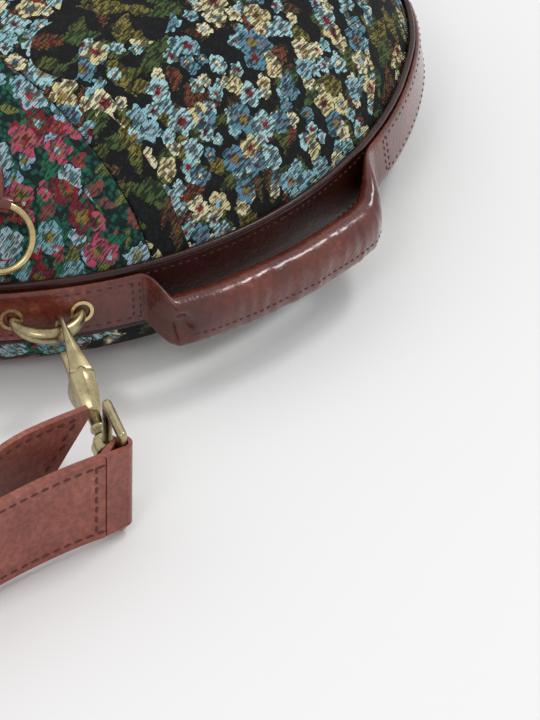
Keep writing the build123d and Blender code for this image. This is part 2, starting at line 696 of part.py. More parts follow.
def rod(first, last, diameter):
    """A round bar between two points, with round ends."""
    way = Vector(*last) - Vector(*first)
    cross = Vector(0, 0, 1) if abs(way.normalized().Z) < 0.9 else Vector(1, 0, 0)
    plane = Plane(origin=first, x_dir=way.cross(cross), z_dir=way)
    whole = extrude(plane * Circle(diameter / 2), amount=way.length)
    return whole + Pos(*first) * Sphere(diameter / 2) + Pos(*last) * Sphere(diameter / 2)


eye_place = Plane(origin=(top_bar.X, top_bar.Y, EYE_LIFT), x_dir=hook_flat, z_dir=(0, 0, 1)).location
corners = [
    (0, 0, -half_eye),
    (EYE_LENGTH, 0, -half_eye),
    (EYE_LENGTH, 0, half_eye),
    (0, 0, half_eye),
]
eye = rod(corners[0], corners[1], EYE_BAR)
for first, last in zip(corners[1:], corners[2:] + corners[:1]):
    eye += rod(first, last, EYE_BAR)
boss_start = (-EYE_BOSS_LENGTH / 2, 0, top_bar.Z - EYE_LIFT)
boss_plane = Plane(origin=boss_start, x_dir=(0, 0, 1), z_dir=(1, 0, 0))
stem_hole = Circle(STEM_DIAMETER / 2 + STEM_CLEARANCE)
eye += extrude(boss_plane * Circle(EYE_BOSS_DIAMETER / 2), amount=EYE_BOSS_LENGTH)
eye -= extrude(boss_plane * stem_hole, amount=EYE_BOSS_LENGTH * 2, both=True)
both_ends("swivel_eye", eye_place * eye)


# Shoulder straps: upright ribbons along smooth lines, with sewn loops
def ribbon(points, thickness):
    """A flat face along a smooth line, as wide as the strap is thick."""
    line = Spline(*points)
    count = 4 * len(points)
    left = []
    right = []
    for i in range(count + 1):
        t = i / count
        spot = line @ t
        way = line % t
        side = Vector(-way.Y, way.X, 0).normalized() * (thickness / 2)
        left.append(spot + side)
        right.append(spot - side)
    return make_face(
        Wire(
            [
                Spline(*left),
                Line(left[-1], right[-1]),
                Spline(*right[::-1]),
                Line(right[0], left[0]),
            ]
        )
    )


def teardrop(centre, end, radius, half_width):
    """A loop's outline: round at the bar, narrowing to the strap."""
    way = (Vector(*end) - Vector(*centre)).normalized()
    side = Vector(-way.Y, way.X, 0)
    a = Vector(*centre) + side * radius
    b = Vector(*end) + side * half_width
    c = Vector(*end) - side * half_width
    d = Vector(*centre) - side * radius
    return polygon(a, b, c, d) + Pos(*centre) * Circle(radius)


def raised(face, low, height):
    """Extrudes a flat face upwards from a height."""
    return Pos(0, 0, low) * extrude(face, amount=height, dir=(0, 0, 1))


hole_radius = EYE_BAR / 2 + LOOP_SLACK
loop_radius = hole_radius + LOOP_THICKNESS
eye_spot = (strap_bar.X, strap_bar.Y)
left_spot = (-strap_bar.X, strap_bar.Y)
buckle_x = strap_bar.X + BUCKLE_OUT
heel_y = strap_bar.Y + BUCKLE_RUN
front_y = heel_y - BUCKLE_LENGTH
heel_spot = (buckle_x, heel_y)
short_path = [(strap_bar.X + dx, strap_bar.Y + dy) for dx, dy in SHORT_RUN]
long_path = [(strap_bar.X + dx, strap_bar.Y + dy) for dx, dy in LONG_START]
long_path += [(strap_bar.X * share, strap_bar.Y + dy) for share, dy in LONG_MIDDLE]
long_path += [(-strap_bar.X - dx, strap_bar.Y + dy) for dx, dy in LONG_END]


def sewn_loop(spot, end, half_width):
    """The loop's outer face and the hole inside it."""
    way = Vector(*end) - Vector(*spot)
    inner_end = Vector(*spot) + way * LOOP_HOLE_SHARE
    outer = teardrop(spot, end, loop_radius, half_width)
    inner = teardrop(spot, (inner_end.X, inner_end.Y), hole_radius, LOOP_SLACK / 2)
    return outer, inner


outer_eye, inner_eye = sewn_loop(eye_spot, short_path[0], SHORT_THICKNESS / 2)
outer_heel, inner_heel = sewn_loop(heel_spot, short_path[-1], SHORT_THICKNESS / 2)
short = raised(ribbon(short_path, SHORT_THICKNESS), SHOULDER_LIFT, SHOULDER_WIDTH)
short += raised(outer_eye, SHOULDER_LIFT, SHOULDER_WIDTH)
short += raised(outer_heel, SHOULDER_LIFT, SHOULDER_WIDTH)
short -= raised(inner_eye, 0, BAND_TOP)
short -= raised(inner_heel, 0, BAND_TOP)
strap_mid = SHOULDER_LIFT + SHOULDER_WIDTH / 2
short -= block(
    (buckle_x - 2 * loop_radius, front_y, strap_mid - PRONG_SLOT / 2),
    (buckle_x + 2 * loop_radius, heel_y + loop_radius + SLOT_LAP, strap_mid + PRONG_SLOT / 2),
)
keep("shoulder_strap_short", short)

long_strap = raised(ribbon(long_path, SHOULDER_THICKNESS), SHOULDER_LIFT, SHOULDER_WIDTH)
outer_left, inner_left = sewn_loop(left_spot, long_path[-1], SHOULDER_THICKNESS / 2)
long_strap += raised(outer_left, SHOULDER_LIFT, SHOULDER_WIDTH)
long_strap -= raised(inner_left, 0, BAND_TOP)
long_strap -= block(
    (buckle_x - 2 * loop_radius, front_y + 2 * SLOT_LAP, strap_mid - PRONG_SLOT / 2),
    (buckle_x + loop_radius, heel_y - SLOT_LAP, strap_mid + PRONG_SLOT / 2),
)
tip = long_path[0]
slant = Plane.YZ * polygon(
    (tip[1] + SHORT_THICKNESS, SHOULDER_LIFT + SHOULDER_WIDTH + SLOT_LAP),
    (tip[1] - TONGUE_SLANT, SHOULDER_LIFT - SLOT_LAP),
    (tip[1] + SHORT_THICKNESS, SHOULDER_LIFT - SLOT_LAP),
)
slant_half = TONGUE_SLANT / 2
long_strap -= Pos(tip[0] - slant_half, 0, 0) * extrude(slant, amount=2 * slant_half, dir=(1, 0, 0))
keep("shoulder_strap_long", long_strap)

# Buckle: frame, prong and keeper
low_side = EYE_LIFT - half_eye
high_side = EYE_LIFT + half_eye
buckle_points = [
    (buckle_x, heel_y, low_side),
    (buckle_x, front_y, low_side),
    (buckle_x, front_y, high_side),
    (buckle_x, heel_y, high_side),
]
frame = rod(buckle_points[0], buckle_points[1], BUCKLE_BAR)
for first, last in zip(buckle_points[1:], buckle_points[2:] + buckle_points[:1]):
    frame += rod(first, last, BUCKLE_BAR)
keep("buckle_frame", frame)

prong_hole = BUCKLE_BAR / 2 + PRONG_CLEARANCE
prong_outer = prong_hole + PRONG_THICKNESS
prong_face = Pos(*heel_spot) * Circle(prong_outer)
prong_face += polygon(
    (buckle_x - prong_outer, heel_y),
    (buckle_x - prong_hole, heel_y),
    (buckle_x - prong_hole, front_y - prong_hole),
    (buckle_x - prong_outer, front_y - prong_hole),
)
prong_face -= Pos(*heel_spot) * Circle(prong_hole)
keep("buckle_prong", raised(prong_face, strap_mid - PRONG_WIDTH / 2, PRONG_WIDTH))

keeper_low = SHOULDER_LIFT - KEEPER_CLEARANCE
keeper_high = SHOULDER_LIFT + SHOULDER_WIDTH + KEEPER_CLEARANCE
keeper_y = strap_bar.Y + KEEPER_RUN
keeper_in = strap_bar.X + KEEPER_IN
keeper_out = strap_bar.X + KEEPER_OUT
keeper = block(
    (keeper_in - KEEPER_THICKNESS, keeper_y - KEEPER_WIDTH / 2, keeper_low - KEEPER_THICKNESS),
    (keeper_out + KEEPER_THICKNESS, keeper_y + KEEPER_WIDTH / 2, keeper_high + KEEPER_THICKNESS),
)
keeper -= block(
    (keeper_in, keeper_y - KEEPER_WIDTH, keeper_low),
    (keeper_out, keeper_y + KEEPER_WIDTH, keeper_high),
)
keep("strap_keeper", keeper)


# Carry rings, chapes and handles
def ring_shape(place):
    """A closed round ring lying in the xy plane of a location."""
    return place * Torus(CARRY_RING_RADIUS, CARRY_RING_WIRE / 2)


def ring_loop(place, angle):
    """A short tube that follows the ring round a part of it: the leather's fold."""
    start = angle - LOOP_HALF_ARC
    local = Plane(
        origin=(CARRY_RING_RADIUS * math.cos(math.radians(start)),
                CARRY_RING_RADIUS * math.sin(math.radians(start)), 0),
        x_dir=(math.cos(math.radians(start)), math.sin(math.radians(start)), 0),
        z_dir=(-math.sin(math.radians(start)), math.cos(math.radians(start)), 0),
    )
    outer = revolve(local * Circle(LOOP_OUTER / 2), axis=Axis.Z, revolution_arc=2 * LOOP_HALF_ARC)
    return place * outer


def ring_hole(place):
    """The space that the ring takes in its leather folds."""
    return place * Torus(CARRY_RING_RADIUS, LOOP_HOLE / 2)


# Front ring: lies against the steep side of the face near the corner
lift_angle = math.degrees(math.acos((-CARRY_RING_INSET - FRONT_CENTRE[0]) / FRONT_RADIUS))
corner_turn = math.radians(CARRY_RING_ANGLE)
corner_out = Vector(math.cos(corner_turn), math.sin(corner_turn), 0)
lift = math.radians(lift_angle)
face_normal = corner_out * math.cos(lift) + Vector(0, 0, math.sin(lift))
ring_spot = Vector(CORNER_X, -CORNER_Y, FRONT_CENTRE[1])
ring_spot = ring_spot + corner_out * (CORNER_RADIUS + FRONT_CENTRE[0])
ring_spot = ring_spot + face_normal * (FRONT_RADIUS + CARRY_RING_STANDOFF)
tangent = Vector(-math.sin(corner_turn), math.cos(corner_turn), 0)
front_place = Plane(origin=ring_spot, x_dir=tangent, z_dir=face_normal).location
both_ends("front_carry_ring", ring_shape(front_place))
chape_half = math.degrees(CHAPE_WIDTH / 2 / FRONT_RADIUS)
chape_inner = FRONT_RADIUS + CHAPE_GAP
chape_outer = chape_inner + CHAPE_THICKNESS


def sector(centre, inner, outer, low, high):
    """A curved strip's section between two angles."""
    points = []
    for radius, a, b in ((outer, low, high), (inner, high, low)):
        turns = [math.radians(t) for t in (a, (a + b) / 2, b)]
        points.append([
            (centre[0] + radius * math.cos(t), centre[1] + radius * math.sin(t)) for t in turns
        ])
    return make_face(
        Wire(
            [
                ThreePointArc(*points[0]),
                Line(points[0][2], points[1][0]),
                ThreePointArc(*points[1]),
                Line(points[1][2], points[0][0]),
            ]
        )
    )


chape_section = sector(
    FRONT_CENTRE, chape_inner, chape_outer, lift_angle - chape_half, lift_angle + chape_half
)
ring_edge = math.degrees((CARRY_RING_RADIUS + CARRY_RING_WIRE) / CORNER_RADIUS)
chape_start = CARRY_RING_ANGLE - ring_edge - CHAPE_ARC
chape_out = Vector(math.cos(math.radians(chape_start)), math.sin(math.radians(chape_start)), 0)
chape_plane = Plane(
    origin=Vector(CORNER_X, -CORNER_Y, 0) + chape_out * CORNER_RADIUS,
    x_dir=chape_out,
    z_dir=chape_out.cross(Vector(0, 0, 1)),
)
chape = revolve(
    chape_plane * chape_section, axis=Axis((CORNER_X, -CORNER_Y, 0), (0, 0, 1)), revolution_arc=CHAPE_ARC
)
chape += ring_loop(front_place, 180)
chape -= ring_hole(front_place)
both_ends("front_chape", chape)

# Back ring: lies flat beyond the top edge
back_ring_x = CORNER_X - BACK_RING_FROM_CORNER
back_ring_y = -HALF_HEIGHT - BACK_RING_OUT
back_place = Pos(back_ring_x, back_ring_y, BACK_RING_Z)
both_ends("back_carry_ring", ring_shape(back_place))
back_chape = along_top(
    sector(
        BACK_CENTRE,
        BACK_RADIUS + CHAPE_GAP,
        BACK_RADIUS + CHAPE_GAP + CHAPE_THICKNESS,
        BACK_CHAPE_LOW,
        BACK_CHAPE_HIGH,
    ),
    back_ring_x - CHAPE_WIDTH / 2,
    back_ring_x + CHAPE_WIDTH / 2,
)
tongue_y = -HALF_HEIGHT - BACK_CENTRE[0] - BACK_RADIUS - CHAPE_GAP
back_chape += block(
    (
        back_ring_x - TONGUE_WIDTH / 2,
        back_ring_y + CARRY_RING_RADIUS,
        BACK_RING_Z - CHAPE_THICKNESS / 2,
    ),
    (
        back_ring_x + TONGUE_WIDTH / 2,
        tongue_y + BACK_TONGUE_LAP,
        BACK_RING_Z + CHAPE_THICKNESS / 2,
    ),
)
back_chape += ring_loop(back_place, 90)
back_chape -= ring_hole(back_place)
both_ends("back_chape", back_chape)


def handle(place, angle, run):
    """A round handle along a smooth line, with a fold round the ring at each end."""
    start = place * Pos(
        CARRY_RING_RADIUS * math.cos(math.radians(angle)),
        CARRY_RING_RADIUS * math.sin(math.radians(angle)),
        0,
    )
    first = start.position
    second = (place * Pos(
        (CARRY_RING_RADIUS + HANDLE_NECK) * math.cos(math.radians(angle)),
        (CARRY_RING_RADIUS + HANDLE_NECK) * math.sin(math.radians(angle)),
        0,
    )).position
    middle = place.position
    points = [second] + [
        Vector(middle.X * share, middle.Y + dy, middle.Z + dz) for share, dy, dz in run
    ]
    points = points + [Vector(-p.X, p.Y, p.Z) for p in points[-2::-1]]
    line = Spline(*points)
    plane = Plane(origin=line @ 0, z_dir=line % 0)
    body = sweep(plane * Circle(HANDLE_DIAMETER / 2), path=line)
    way = second - first
    neck_plane = Plane(origin=first + way * (LOOP_HOLE / 2 / HANDLE_NECK), z_dir=way)
    neck = extrude(neck_plane * Circle(LOOP_OUTER / 2), amount=HANDLE_NECK)
    end = neck + ring_loop(place, angle) - ring_hole(place)
    return body + end + mirror(end, about=Plane.YZ)


keep("front_carry_handle", handle(front_place, 90, FRONT_HANDLE_RUN))
keep("back_carry_handle", handle(back_place, -90, BACK_HANDLE_RUN))

for node, shape in NODES.items():
    export_step(shape, f"parts/{node}.step")
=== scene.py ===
"""Dresses the tapestry carpet bag: cloth, leather, stitching, brass, studio and camera."""

import json
import logging
import math
from dataclasses import dataclass, field
from enum import Enum
from typing import Callable, Iterable, Sequence

import bpy
from mathutils import Matrix, Vector, noise

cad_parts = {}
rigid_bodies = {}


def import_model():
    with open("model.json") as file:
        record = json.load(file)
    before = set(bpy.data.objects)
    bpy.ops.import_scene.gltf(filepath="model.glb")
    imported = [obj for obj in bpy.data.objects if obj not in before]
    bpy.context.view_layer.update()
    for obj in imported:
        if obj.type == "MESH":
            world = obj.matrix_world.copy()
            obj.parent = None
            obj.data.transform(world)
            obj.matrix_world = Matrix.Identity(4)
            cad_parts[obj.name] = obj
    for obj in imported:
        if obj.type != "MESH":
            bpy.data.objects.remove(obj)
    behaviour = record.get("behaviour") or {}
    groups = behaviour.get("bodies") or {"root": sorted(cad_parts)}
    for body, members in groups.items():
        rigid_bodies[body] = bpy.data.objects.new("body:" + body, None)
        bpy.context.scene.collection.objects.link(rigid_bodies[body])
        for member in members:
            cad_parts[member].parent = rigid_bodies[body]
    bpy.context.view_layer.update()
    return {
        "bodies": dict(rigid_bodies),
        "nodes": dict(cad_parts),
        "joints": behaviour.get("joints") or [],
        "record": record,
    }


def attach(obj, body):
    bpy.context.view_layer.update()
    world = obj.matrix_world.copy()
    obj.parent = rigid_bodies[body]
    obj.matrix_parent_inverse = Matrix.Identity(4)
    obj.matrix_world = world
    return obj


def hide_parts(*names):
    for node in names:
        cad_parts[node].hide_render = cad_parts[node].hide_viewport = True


LOG = logging.getLogger("carpet_bag")
MM = 0.001
Point = tuple[float, float, float]
Section = Sequence[tuple[float, float]]
# Points along a row, each with the direction out of the surface there
Line = Sequence[tuple[Vector, Vector]]


class End(Enum):
    """The bag's two ends, as the sign of X."""

    RIGHT = 1
    LEFT = -1

    @property
    def word(self) -> str:
        """The name that the frame's nodes use for this end."""
        return self.name.lower()


def srgb(code: str) -> tuple[float, float, float, float]:
    """Turns an sRGB hex colour into linear values.

    Args:
        code: Six hex digits with a leading hash sign.

    Returns:
        Linear red, green and blue with a full alpha.
    """
    parts = [int(code[i : i + 2], 16) / 255 for i in (1, 3, 5)]
    linear = [p / 12.92 if p <= 0.04045 else ((p + 0.055) / 1.055) ** 2.4 for p in parts]
    return (linear[0], linear[1], linear[2], 1.0)


class Graph:
    """A material's node tree with one way to add nodes."""

    def __init__(self, name: str) -> None:
        """Starts an empty material.

        Args:
            name: The finish's plain name.
        """
        self.material = bpy.data.materials.new(name)
        self.material.use_nodes = True
        self.tree = self.material.node_tree
        self.tree.nodes.clear()
        self.out = self.tree.nodes.new("ShaderNodeOutputMaterial")

    def node(self, kind: str, inputs: dict | None = None, **settings: object) -> bpy.types.Node:
        """Adds a node with its settings and links.

        Args:
            kind: Blender's name of the node, without its ShaderNode prefix.
            inputs: Input name or number to a value or an output socket.
            **settings: Attributes of the node.

        Returns:
            The new node.
        """
        made = self.tree.nodes.new("ShaderNode" + kind)
        for key, value in settings.items():
            setattr(made, key, value)
        for key, value in (inputs or {}).items():
            if isinstance(value, bpy.types.NodeSocket):
                self.tree.links.new(value, made.inputs[key])
            else:
                made.inputs[key].default_value = value
        return made

    def math(self, operation: str, *values: object) -> bpy.types.NodeSocket:
        """Adds a Math node and returns its output."""
        return self.node("Math", dict(enumerate(values)), operation=operation).outputs[0]

    def ramp(self, factor: bpy.types.NodeSocket, stops: Sequence[tuple[float, str]], mode: str = "LINEAR"):
        """Adds a colour ramp.

        Args:
            factor: What drives the ramp.
            stops: Positions with hex colours.
            mode: The ramp's interpolation.

        Returns:
            The ramp's colour output.
        """
        made = self.node("ValToRGB", {0: factor})
        made.color_ramp.interpolation = mode
        elements = made.color_ramp.elements
        while len(elements) < len(stops):
            elements.new(0.5)
        for element, (position, code) in zip(elements, stops):
            element.position = position
            element.color = srgb(code)
        return made.outputs[0]

    def mix(self, factor: object, first: object, second: object, blend: str = "MIX"):
        """Mixes two colours and returns the result's output."""
        made = self.tree.nodes.new("ShaderNodeMix")
        made.data_type = "RGBA"
        made.blend_type = blend
        for index, value in ((0, factor), (6, first), (7, second)):
            if isinstance(value, bpy.types.NodeSocket):
                self.tree.links.new(value, made.inputs[index])
            else:
                made.inputs[index].default_value = value
        return made.outputs[2]

    def finish(self, colour: object, **inputs: object) -> bpy.types.Material:
        """Adds the surface shader and closes the material.

        Args:
            colour: The base colour, a value or an output.
            **inputs: Shader inputs, with underscores for spaces.

        Returns:
            The finished material.
        """
        named = {key.replace("_", " "): value for key, value in inputs.items()}
        shader = self.node("BsdfPrincipled", {"Base Color": colour, **named})
        self.tree.links.new(shader.outputs[0], self.out.inputs[0])
        return self.material


@dataclass(frozen=True)
class FloralJacquard:
    """Wool and cotton jacquard with scattered flowers, woven face out: soft, matt, ribbed.

    Light weft floats lie in short slanting dashes over a dark ground, so every petal is broken
    into threads and the ground glints through between them.
    """

    name: str
    ground: tuple[str, str]
    flowers: tuple[str, ...]
    leaves: tuple[str, ...]
    flower_mm: float
    leaf_mm: float
    thread_mm: float

    def cells(self, graph: Graph, where: object, cell: float, seed: float, warp: float) -> tuple:
        """One layer of scattered motifs.

        Args:
            graph: The material being built.
            where: The cloth's own coordinates in metres.
            cell: Spacing of the motifs in metres.
            seed: Shifts the layer so that layers differ.
            warp: How unevenly the motifs are drawn.

        Returns:
            Each point's place in its motif, in motif sizes, and the motif's three random values.
        """
        moved = graph.node("Mapping", {0: where, 1: (seed, seed * 1.7, 0)}).outputs[0]
        noise = graph.node("TexNoise", {"Vector": moved, "Scale": 2.6 / cell, "Detail": 1.0})
        shift = graph.node("VectorMath", {0: noise.outputs[1], 1: (0.5, 0.5, 0.5)}, operation="SUBTRACT")
        bent = graph.node(
            "VectorMath", {0: shift.outputs[0], 1: (cell * warp,) * 3, 2: moved}, operation="MULTIPLY_ADD"
        ).outputs[0]
        spots = graph.node(
            "TexVoronoi", {"Vector": bent, "Scale": 1 / cell, "Randomness": 0.8}, voronoi_dimensions="2D"
        )
        local = graph.node("VectorMath", {0: bent, 1: spots.outputs["Position"]}, operation="SUBTRACT")
        local = graph.node("VectorMath", {0: local.outputs[0], 3: 1 / cell}, operation="SCALE").outputs[0]
        random = graph.node("SeparateColor", {0: spots.outputs["Color"]}).outputs
        spin = graph.math("MULTIPLY", random[0], 6.28)
        turned = graph.node("VectorRotate", {"Vector": local, "Angle": spin}, rotation_type="Z_AXIS")
        return turned.outputs[0], random

    def blossoms(self, graph: Graph, where: object, cell: float, seed: float, size: float) -> tuple:
        """Masks for a layer of five-petalled flowers.

        Args:
            graph: The material being built.
            where: The cloth's own coordinates in metres.
            cell: Spacing of the flowers in metres.
            seed: Shifts the layer.
            size: The flowers' radius as a share of the spacing.

        Returns:
            The flower's mask, how far out in the flower a point lies, and the random values.
        """
        local, random = self.cells(graph, where, cell, seed, 0.35)
        axes = graph.node("SeparateXYZ", {0: local}).outputs
        angle = graph.math("MULTIPLY", graph.math("ARCTAN2", axes[1], axes[0]), 2.5)
        lobes = graph.math("POWER", graph.math("ABSOLUTE", graph.math("COSINE", angle)), 0.55)
        reach = graph.math("MULTIPLY_ADD", lobes, 0.42 * size, 0.58 * size)
        reach = graph.math("MULTIPLY", reach, graph.math("MULTIPLY_ADD", random[1], 0.35, 0.75))
        distance = graph.node("VectorMath", {0: local}, operation="LENGTH").outputs[1]
        out = graph.math("DIVIDE", distance, reach)
        return graph.math("LESS_THAN", out, 1.0), out, random

    def sprays(self, graph: Graph, where: object, cell: float, seed: float) -> tuple:
        """Masks for a layer of long leaves with cross ribs.

        Args:
            graph: The material being built.
            where: The cloth's own coordinates in metres.
            cell: Spacing of the leaves in metres.
            seed: Shifts the layer.

        Returns:
            The leaf's mask, the mask of its ribs and the random values.
        """
        local, random = self.cells(graph, where, cell, seed, 0.25)
        axes = graph.node("SeparateXYZ", {0: local}).outputs
        wide = graph.math("MULTIPLY", graph.math("ABSOLUTE", axes[1]), 2.3)
        teeth = graph.math("PINGPONG", graph.math("ADD", axes[0], graph.math("MULTIPLY", wide, 0.4)), 0.07)
        edge = graph.math("MULTIPLY_ADD", teeth, 2.2, graph.math("ABSOLUTE", axes[0]))
        edge = graph.math("ADD", edge, wide)
        return graph.math("LESS_THAN", edge, 0.78), graph.math("LESS_THAN", teeth, 0.026), random

    def choose(self, graph: Graph, random: object, codes: Sequence[str]):
        """Picks one of the colours.

        Args:
            graph: The material being built.
            random: A value from 0 to 1.
            codes: The hex colours.

        Returns:
            The colour's output.
        """
        return graph.ramp(random, [(i / len(codes), code) for i, code in enumerate(codes)], "CONSTANT")

    def make(self) -> bpy.types.Material:
        """Builds the cloth's material.

        Returns:
            The finished material.
        """
        graph = Graph(self.name)
        where = graph.node("UVMap", uv_map="cloth").outputs[0]
        fine = graph.node("TexNoise", {"Vector": where, "Scale": 300.0, "Detail": 2.0}).outputs[0]
        painted_crease_shade = graph.node("TexVoronoi", {"Vector": where, "Scale": 420.0}).outputs["Distance"]
        ground = graph.ramp(painted_crease_shade, [(0.25, self.ground[1]), (0.55, self.ground[0])])
        colour = ground
        drift = graph.node("TexNoise", {"Vector": where, "Scale": 24.0, "Detail": 0.0}).outputs[0]
        bed = graph.math("GREATER_THAN", drift, 0.42)
        cover = 0.0
        for size, seed in ((0.7, 0.77), (1.0, 0.31)):
            leaf, ribs, random = self.sprays(graph, where, self.leaf_mm * size * MM, seed)
            tint = graph.mix(ribs, self.choose(graph, random[2], self.leaves), srgb(self.leaves[0]))
            colour = graph.mix(leaf, colour, graph.mix(graph.math("LESS_THAN", random[1], 0.3), tint, ground))
            cover = graph.math("MAXIMUM", cover, leaf)
        leafy = cover
        for size, seed, share, order in ((0.62, 0.17, 0.45, -1), (1.0, 0.0, 0.25, 1)):
            spacing = self.flower_mm * size * MM
            mask, out, random = self.blossoms(graph, where, spacing, seed, 0.5)
            mask = graph.math("MULTIPLY", mask, graph.math("GREATER_THAN", random[2], share))
            mask = graph.math("MULTIPLY", mask, bed)
            petal = self.choose(graph, random[2], self.flowers[::order])
            shaded = graph.mix(graph.math("LESS_THAN", out, 0.5), petal, self.shadow(graph, petal))
            heart = self.choose(graph, random[1], self.flowers[1::2] + self.leaves[1::2])
            colour = graph.mix(mask, colour, graph.mix(graph.math("LESS_THAN", out, 0.3), shaded, heart))
            cover = graph.math("MAXIMUM", cover, mask)
        # Slanting floats; the pitch is the one that still shows in the picture
        slant = graph.node("Mapping", {0: where, 2: (0, 0, -0.25)}).outputs[0]
        pitch = 1 / (self.thread_mm * MM)
        long = graph.node("Mapping", {0: slant, 3: (pitch * 0.9, pitch * 0.2, 1.0)}).outputs[0]
        floats = graph.node("TexNoise", {"Vector": long, "Scale": 1.0, "Detail": 1.0}).outputs[0]
        open_weave = graph.math("MULTIPLY_ADD", leafy, 0.05, 0.45)
        gap = graph.math("MULTIPLY", graph.math("LESS_THAN", floats, open_weave), cover)
        colour = graph.mix(graph.math("MULTIPLY", gap, 0.8), colour, ground)
        ribs = {"Vector": slant, "Scale": pitch / 3.1, "Distortion": 0.8, "Detail": 0.0}
        rows = graph.node("TexWave", ribs, bands_direction="X").outputs[1]
        # Painted shade: the colour is darkened in the low parts of the ribs and of the fine noise, which the
        # bump also sinks.
        painted_weave_shade = graph.math("MULTIPLY_ADD", rows, 0.45, 0.62)
        painted_weave_shade = graph.math("MULTIPLY", painted_weave_shade, graph.math("MULTIPLY_ADD", fine, 0.8, 0.62))
        painted_weave_shade_grey = graph.node("CombineXYZ", {0: painted_weave_shade, 1: painted_weave_shade, 2: painted_weave_shade}).outputs[0]
        colour = graph.mix(1.0, colour, painted_weave_shade_grey, "MULTIPLY")
        height = graph.math("MULTIPLY_ADD", fine, 0.35, rows)
        height = graph.math("MULTIPLY_ADD", floats, 0.8, graph.math("MULTIPLY_ADD", cover, 0.4, height))
        bump = graph.node("Bump", {"Strength": 0.6, "Distance": 0.0006, "Height": height}).outputs[0]
        return graph.finish(colour, Roughness=0.8, Normal=bump, Specular_IOR_Level=0.25)

    def shadow(self, graph: Graph, colour: object):
        """The darker inner part of a petal.

        Args:
            graph: The material being built.
            colour: The petal's colour.

        Returns:
            The shaded colour's output.
        """
        return graph.mix(0.55, colour, srgb(self.leaves[1]))


@dataclass(frozen=True)
class Leather:
    """Vegetable-tanned cowhide, drum-dyed oxblood and waxed: fine grain, pull-up patches, high gloss."""

    name: str
    dark: str
    light: str
    scuff: str
    grain_mm: float = 1.1
    roughness: float = 0.36
    relief: float = 0.5
    coat: float = 0.3

    def make(self) -> bpy.types.Material:
        """Builds the leather's material.

        Returns:
            The finished material.
        """
        graph = Graph(self.name)
        where = graph.node("TexCoord").outputs["Object"]
        cells = graph.node("TexVoronoi", {"Vector": where, "Scale": 1 / (self.grain_mm * MM)}, feature="F1")
        creases = graph.node("TexNoise", {"Vector": where, "Scale": 420.0, "Detail": 4.0, "Roughness": 0.6})
        patches = graph.node("TexNoise", {"Vector": where, "Scale": 38.0, "Detail": 3.0, "Roughness": 0.5})
        colour = graph.ramp(patches.outputs[0], [(0.3, self.dark), (0.7, self.light)])
        both = graph.math("MULTIPLY", creases.outputs[0], patches.outputs[0])
        worn = graph.ramp(both, [(0.36, "#000000"), (0.5, "#FFFFFF")])
        colour = graph.mix(graph.math("MULTIPLY", worn, 0.3), colour, srgb(self.scuff))
        # Painted shade: the colour is darkened where the crease noise is low, the same places the bump sinks.
        painted_crease_shade = graph.ramp(creases.outputs[0], [(0.4, "#C4C4C4"), (0.6, "#FFFFFF")])
        colour = graph.mix(0.7, colour, painted_crease_shade, "MULTIPLY")
        height = graph.math("MULTIPLY_ADD", creases.outputs[0], 0.9, cells.outputs["Distance"])
        bump = graph.node("Bump", {"Strength": self.relief, "Distance": 0.00022, "Height": height}).outputs[0]
        rough = graph.math("MULTIPLY_ADD", patches.outputs[0], 0.2, self.roughness - 0.1)
        gloss = {"Coat_Weight": self.coat, "Coat_Roughness": 0.16, "Specular_IOR_Level": 0.22}
        return graph.finish(colour, Roughness=rough, Normal=bump, **gloss)


@dataclass(frozen=True)
class AgedBrass:
    """Cast brass, tumbled and antiqued: a warm olive shine, darker in the hollows, rubbed pale on top."""

    name: str
    dark: str
    light: str
    roughness: float = 0.34
    brush_mm: float = 0.5

    def make(self) -> bpy.types.Material:
        """Builds the metal's material.

        Returns:
            The finished material.
        """
        graph = Graph(self.name)
        where = graph.node("TexCoord").outputs["Object"]
        stain = graph.node("TexNoise", {"Vector": where, "Scale": 90.0, "Detail": 5.0, "Roughness": 0.7})
        brush = graph.node("TexNoise", {"Vector": where, "Scale": 1 / (self.brush_mm * MM), "Detail": 2.0})
        pointed = graph.node("NewGeometry").outputs["Pointiness"]
        rubbed = graph.math("MULTIPLY_ADD", pointed, 1.2, graph.math("MULTIPLY", stain.outputs[0], 0.5))
        colour = graph.ramp(rubbed, [(0.72, self.dark), (0.92, self.light)])
        height = graph.math("MULTIPLY_ADD", brush.outputs[0], 0.5, stain.outputs[0])
        bump = graph.node("Bump", {"Strength": 0.2, "Distance": 0.0002, "Height": height}).outputs[0]
        rough = graph.math("MULTIPLY_ADD", stain.outputs[0], 0.2, self.roughness - 0.1)
        return graph.finish(colour, Metallic=1.0, Roughness=rough, Normal=bump)


@dataclass(frozen=True)
class Thread:
    """Waxed polyester thread: a fine twist with a dull shine."""

    name: str
    colour: str

    def make(self) -> bpy.types.Material:
        """Builds the thread's material.

        Returns:
            The finished material.
        """
        graph = Graph(self.name)
        where = graph.node("TexCoord").outputs["Object"]
        twist = graph.node("TexNoise", {"Vector": where, "Scale": 2200.0, "Detail": 1.0}).outputs[0]
        colour = graph.mix(graph.math("MULTIPLY", twist, 0.4), srgb(self.colour), srgb("#1B0D0B"))
        bump = graph.node("Bump", {"Strength": 0.4, "Distance": 0.0002, "Height": twist}).outputs[0]
        return graph.finish(colour, Roughness=0.55, Normal=bump)


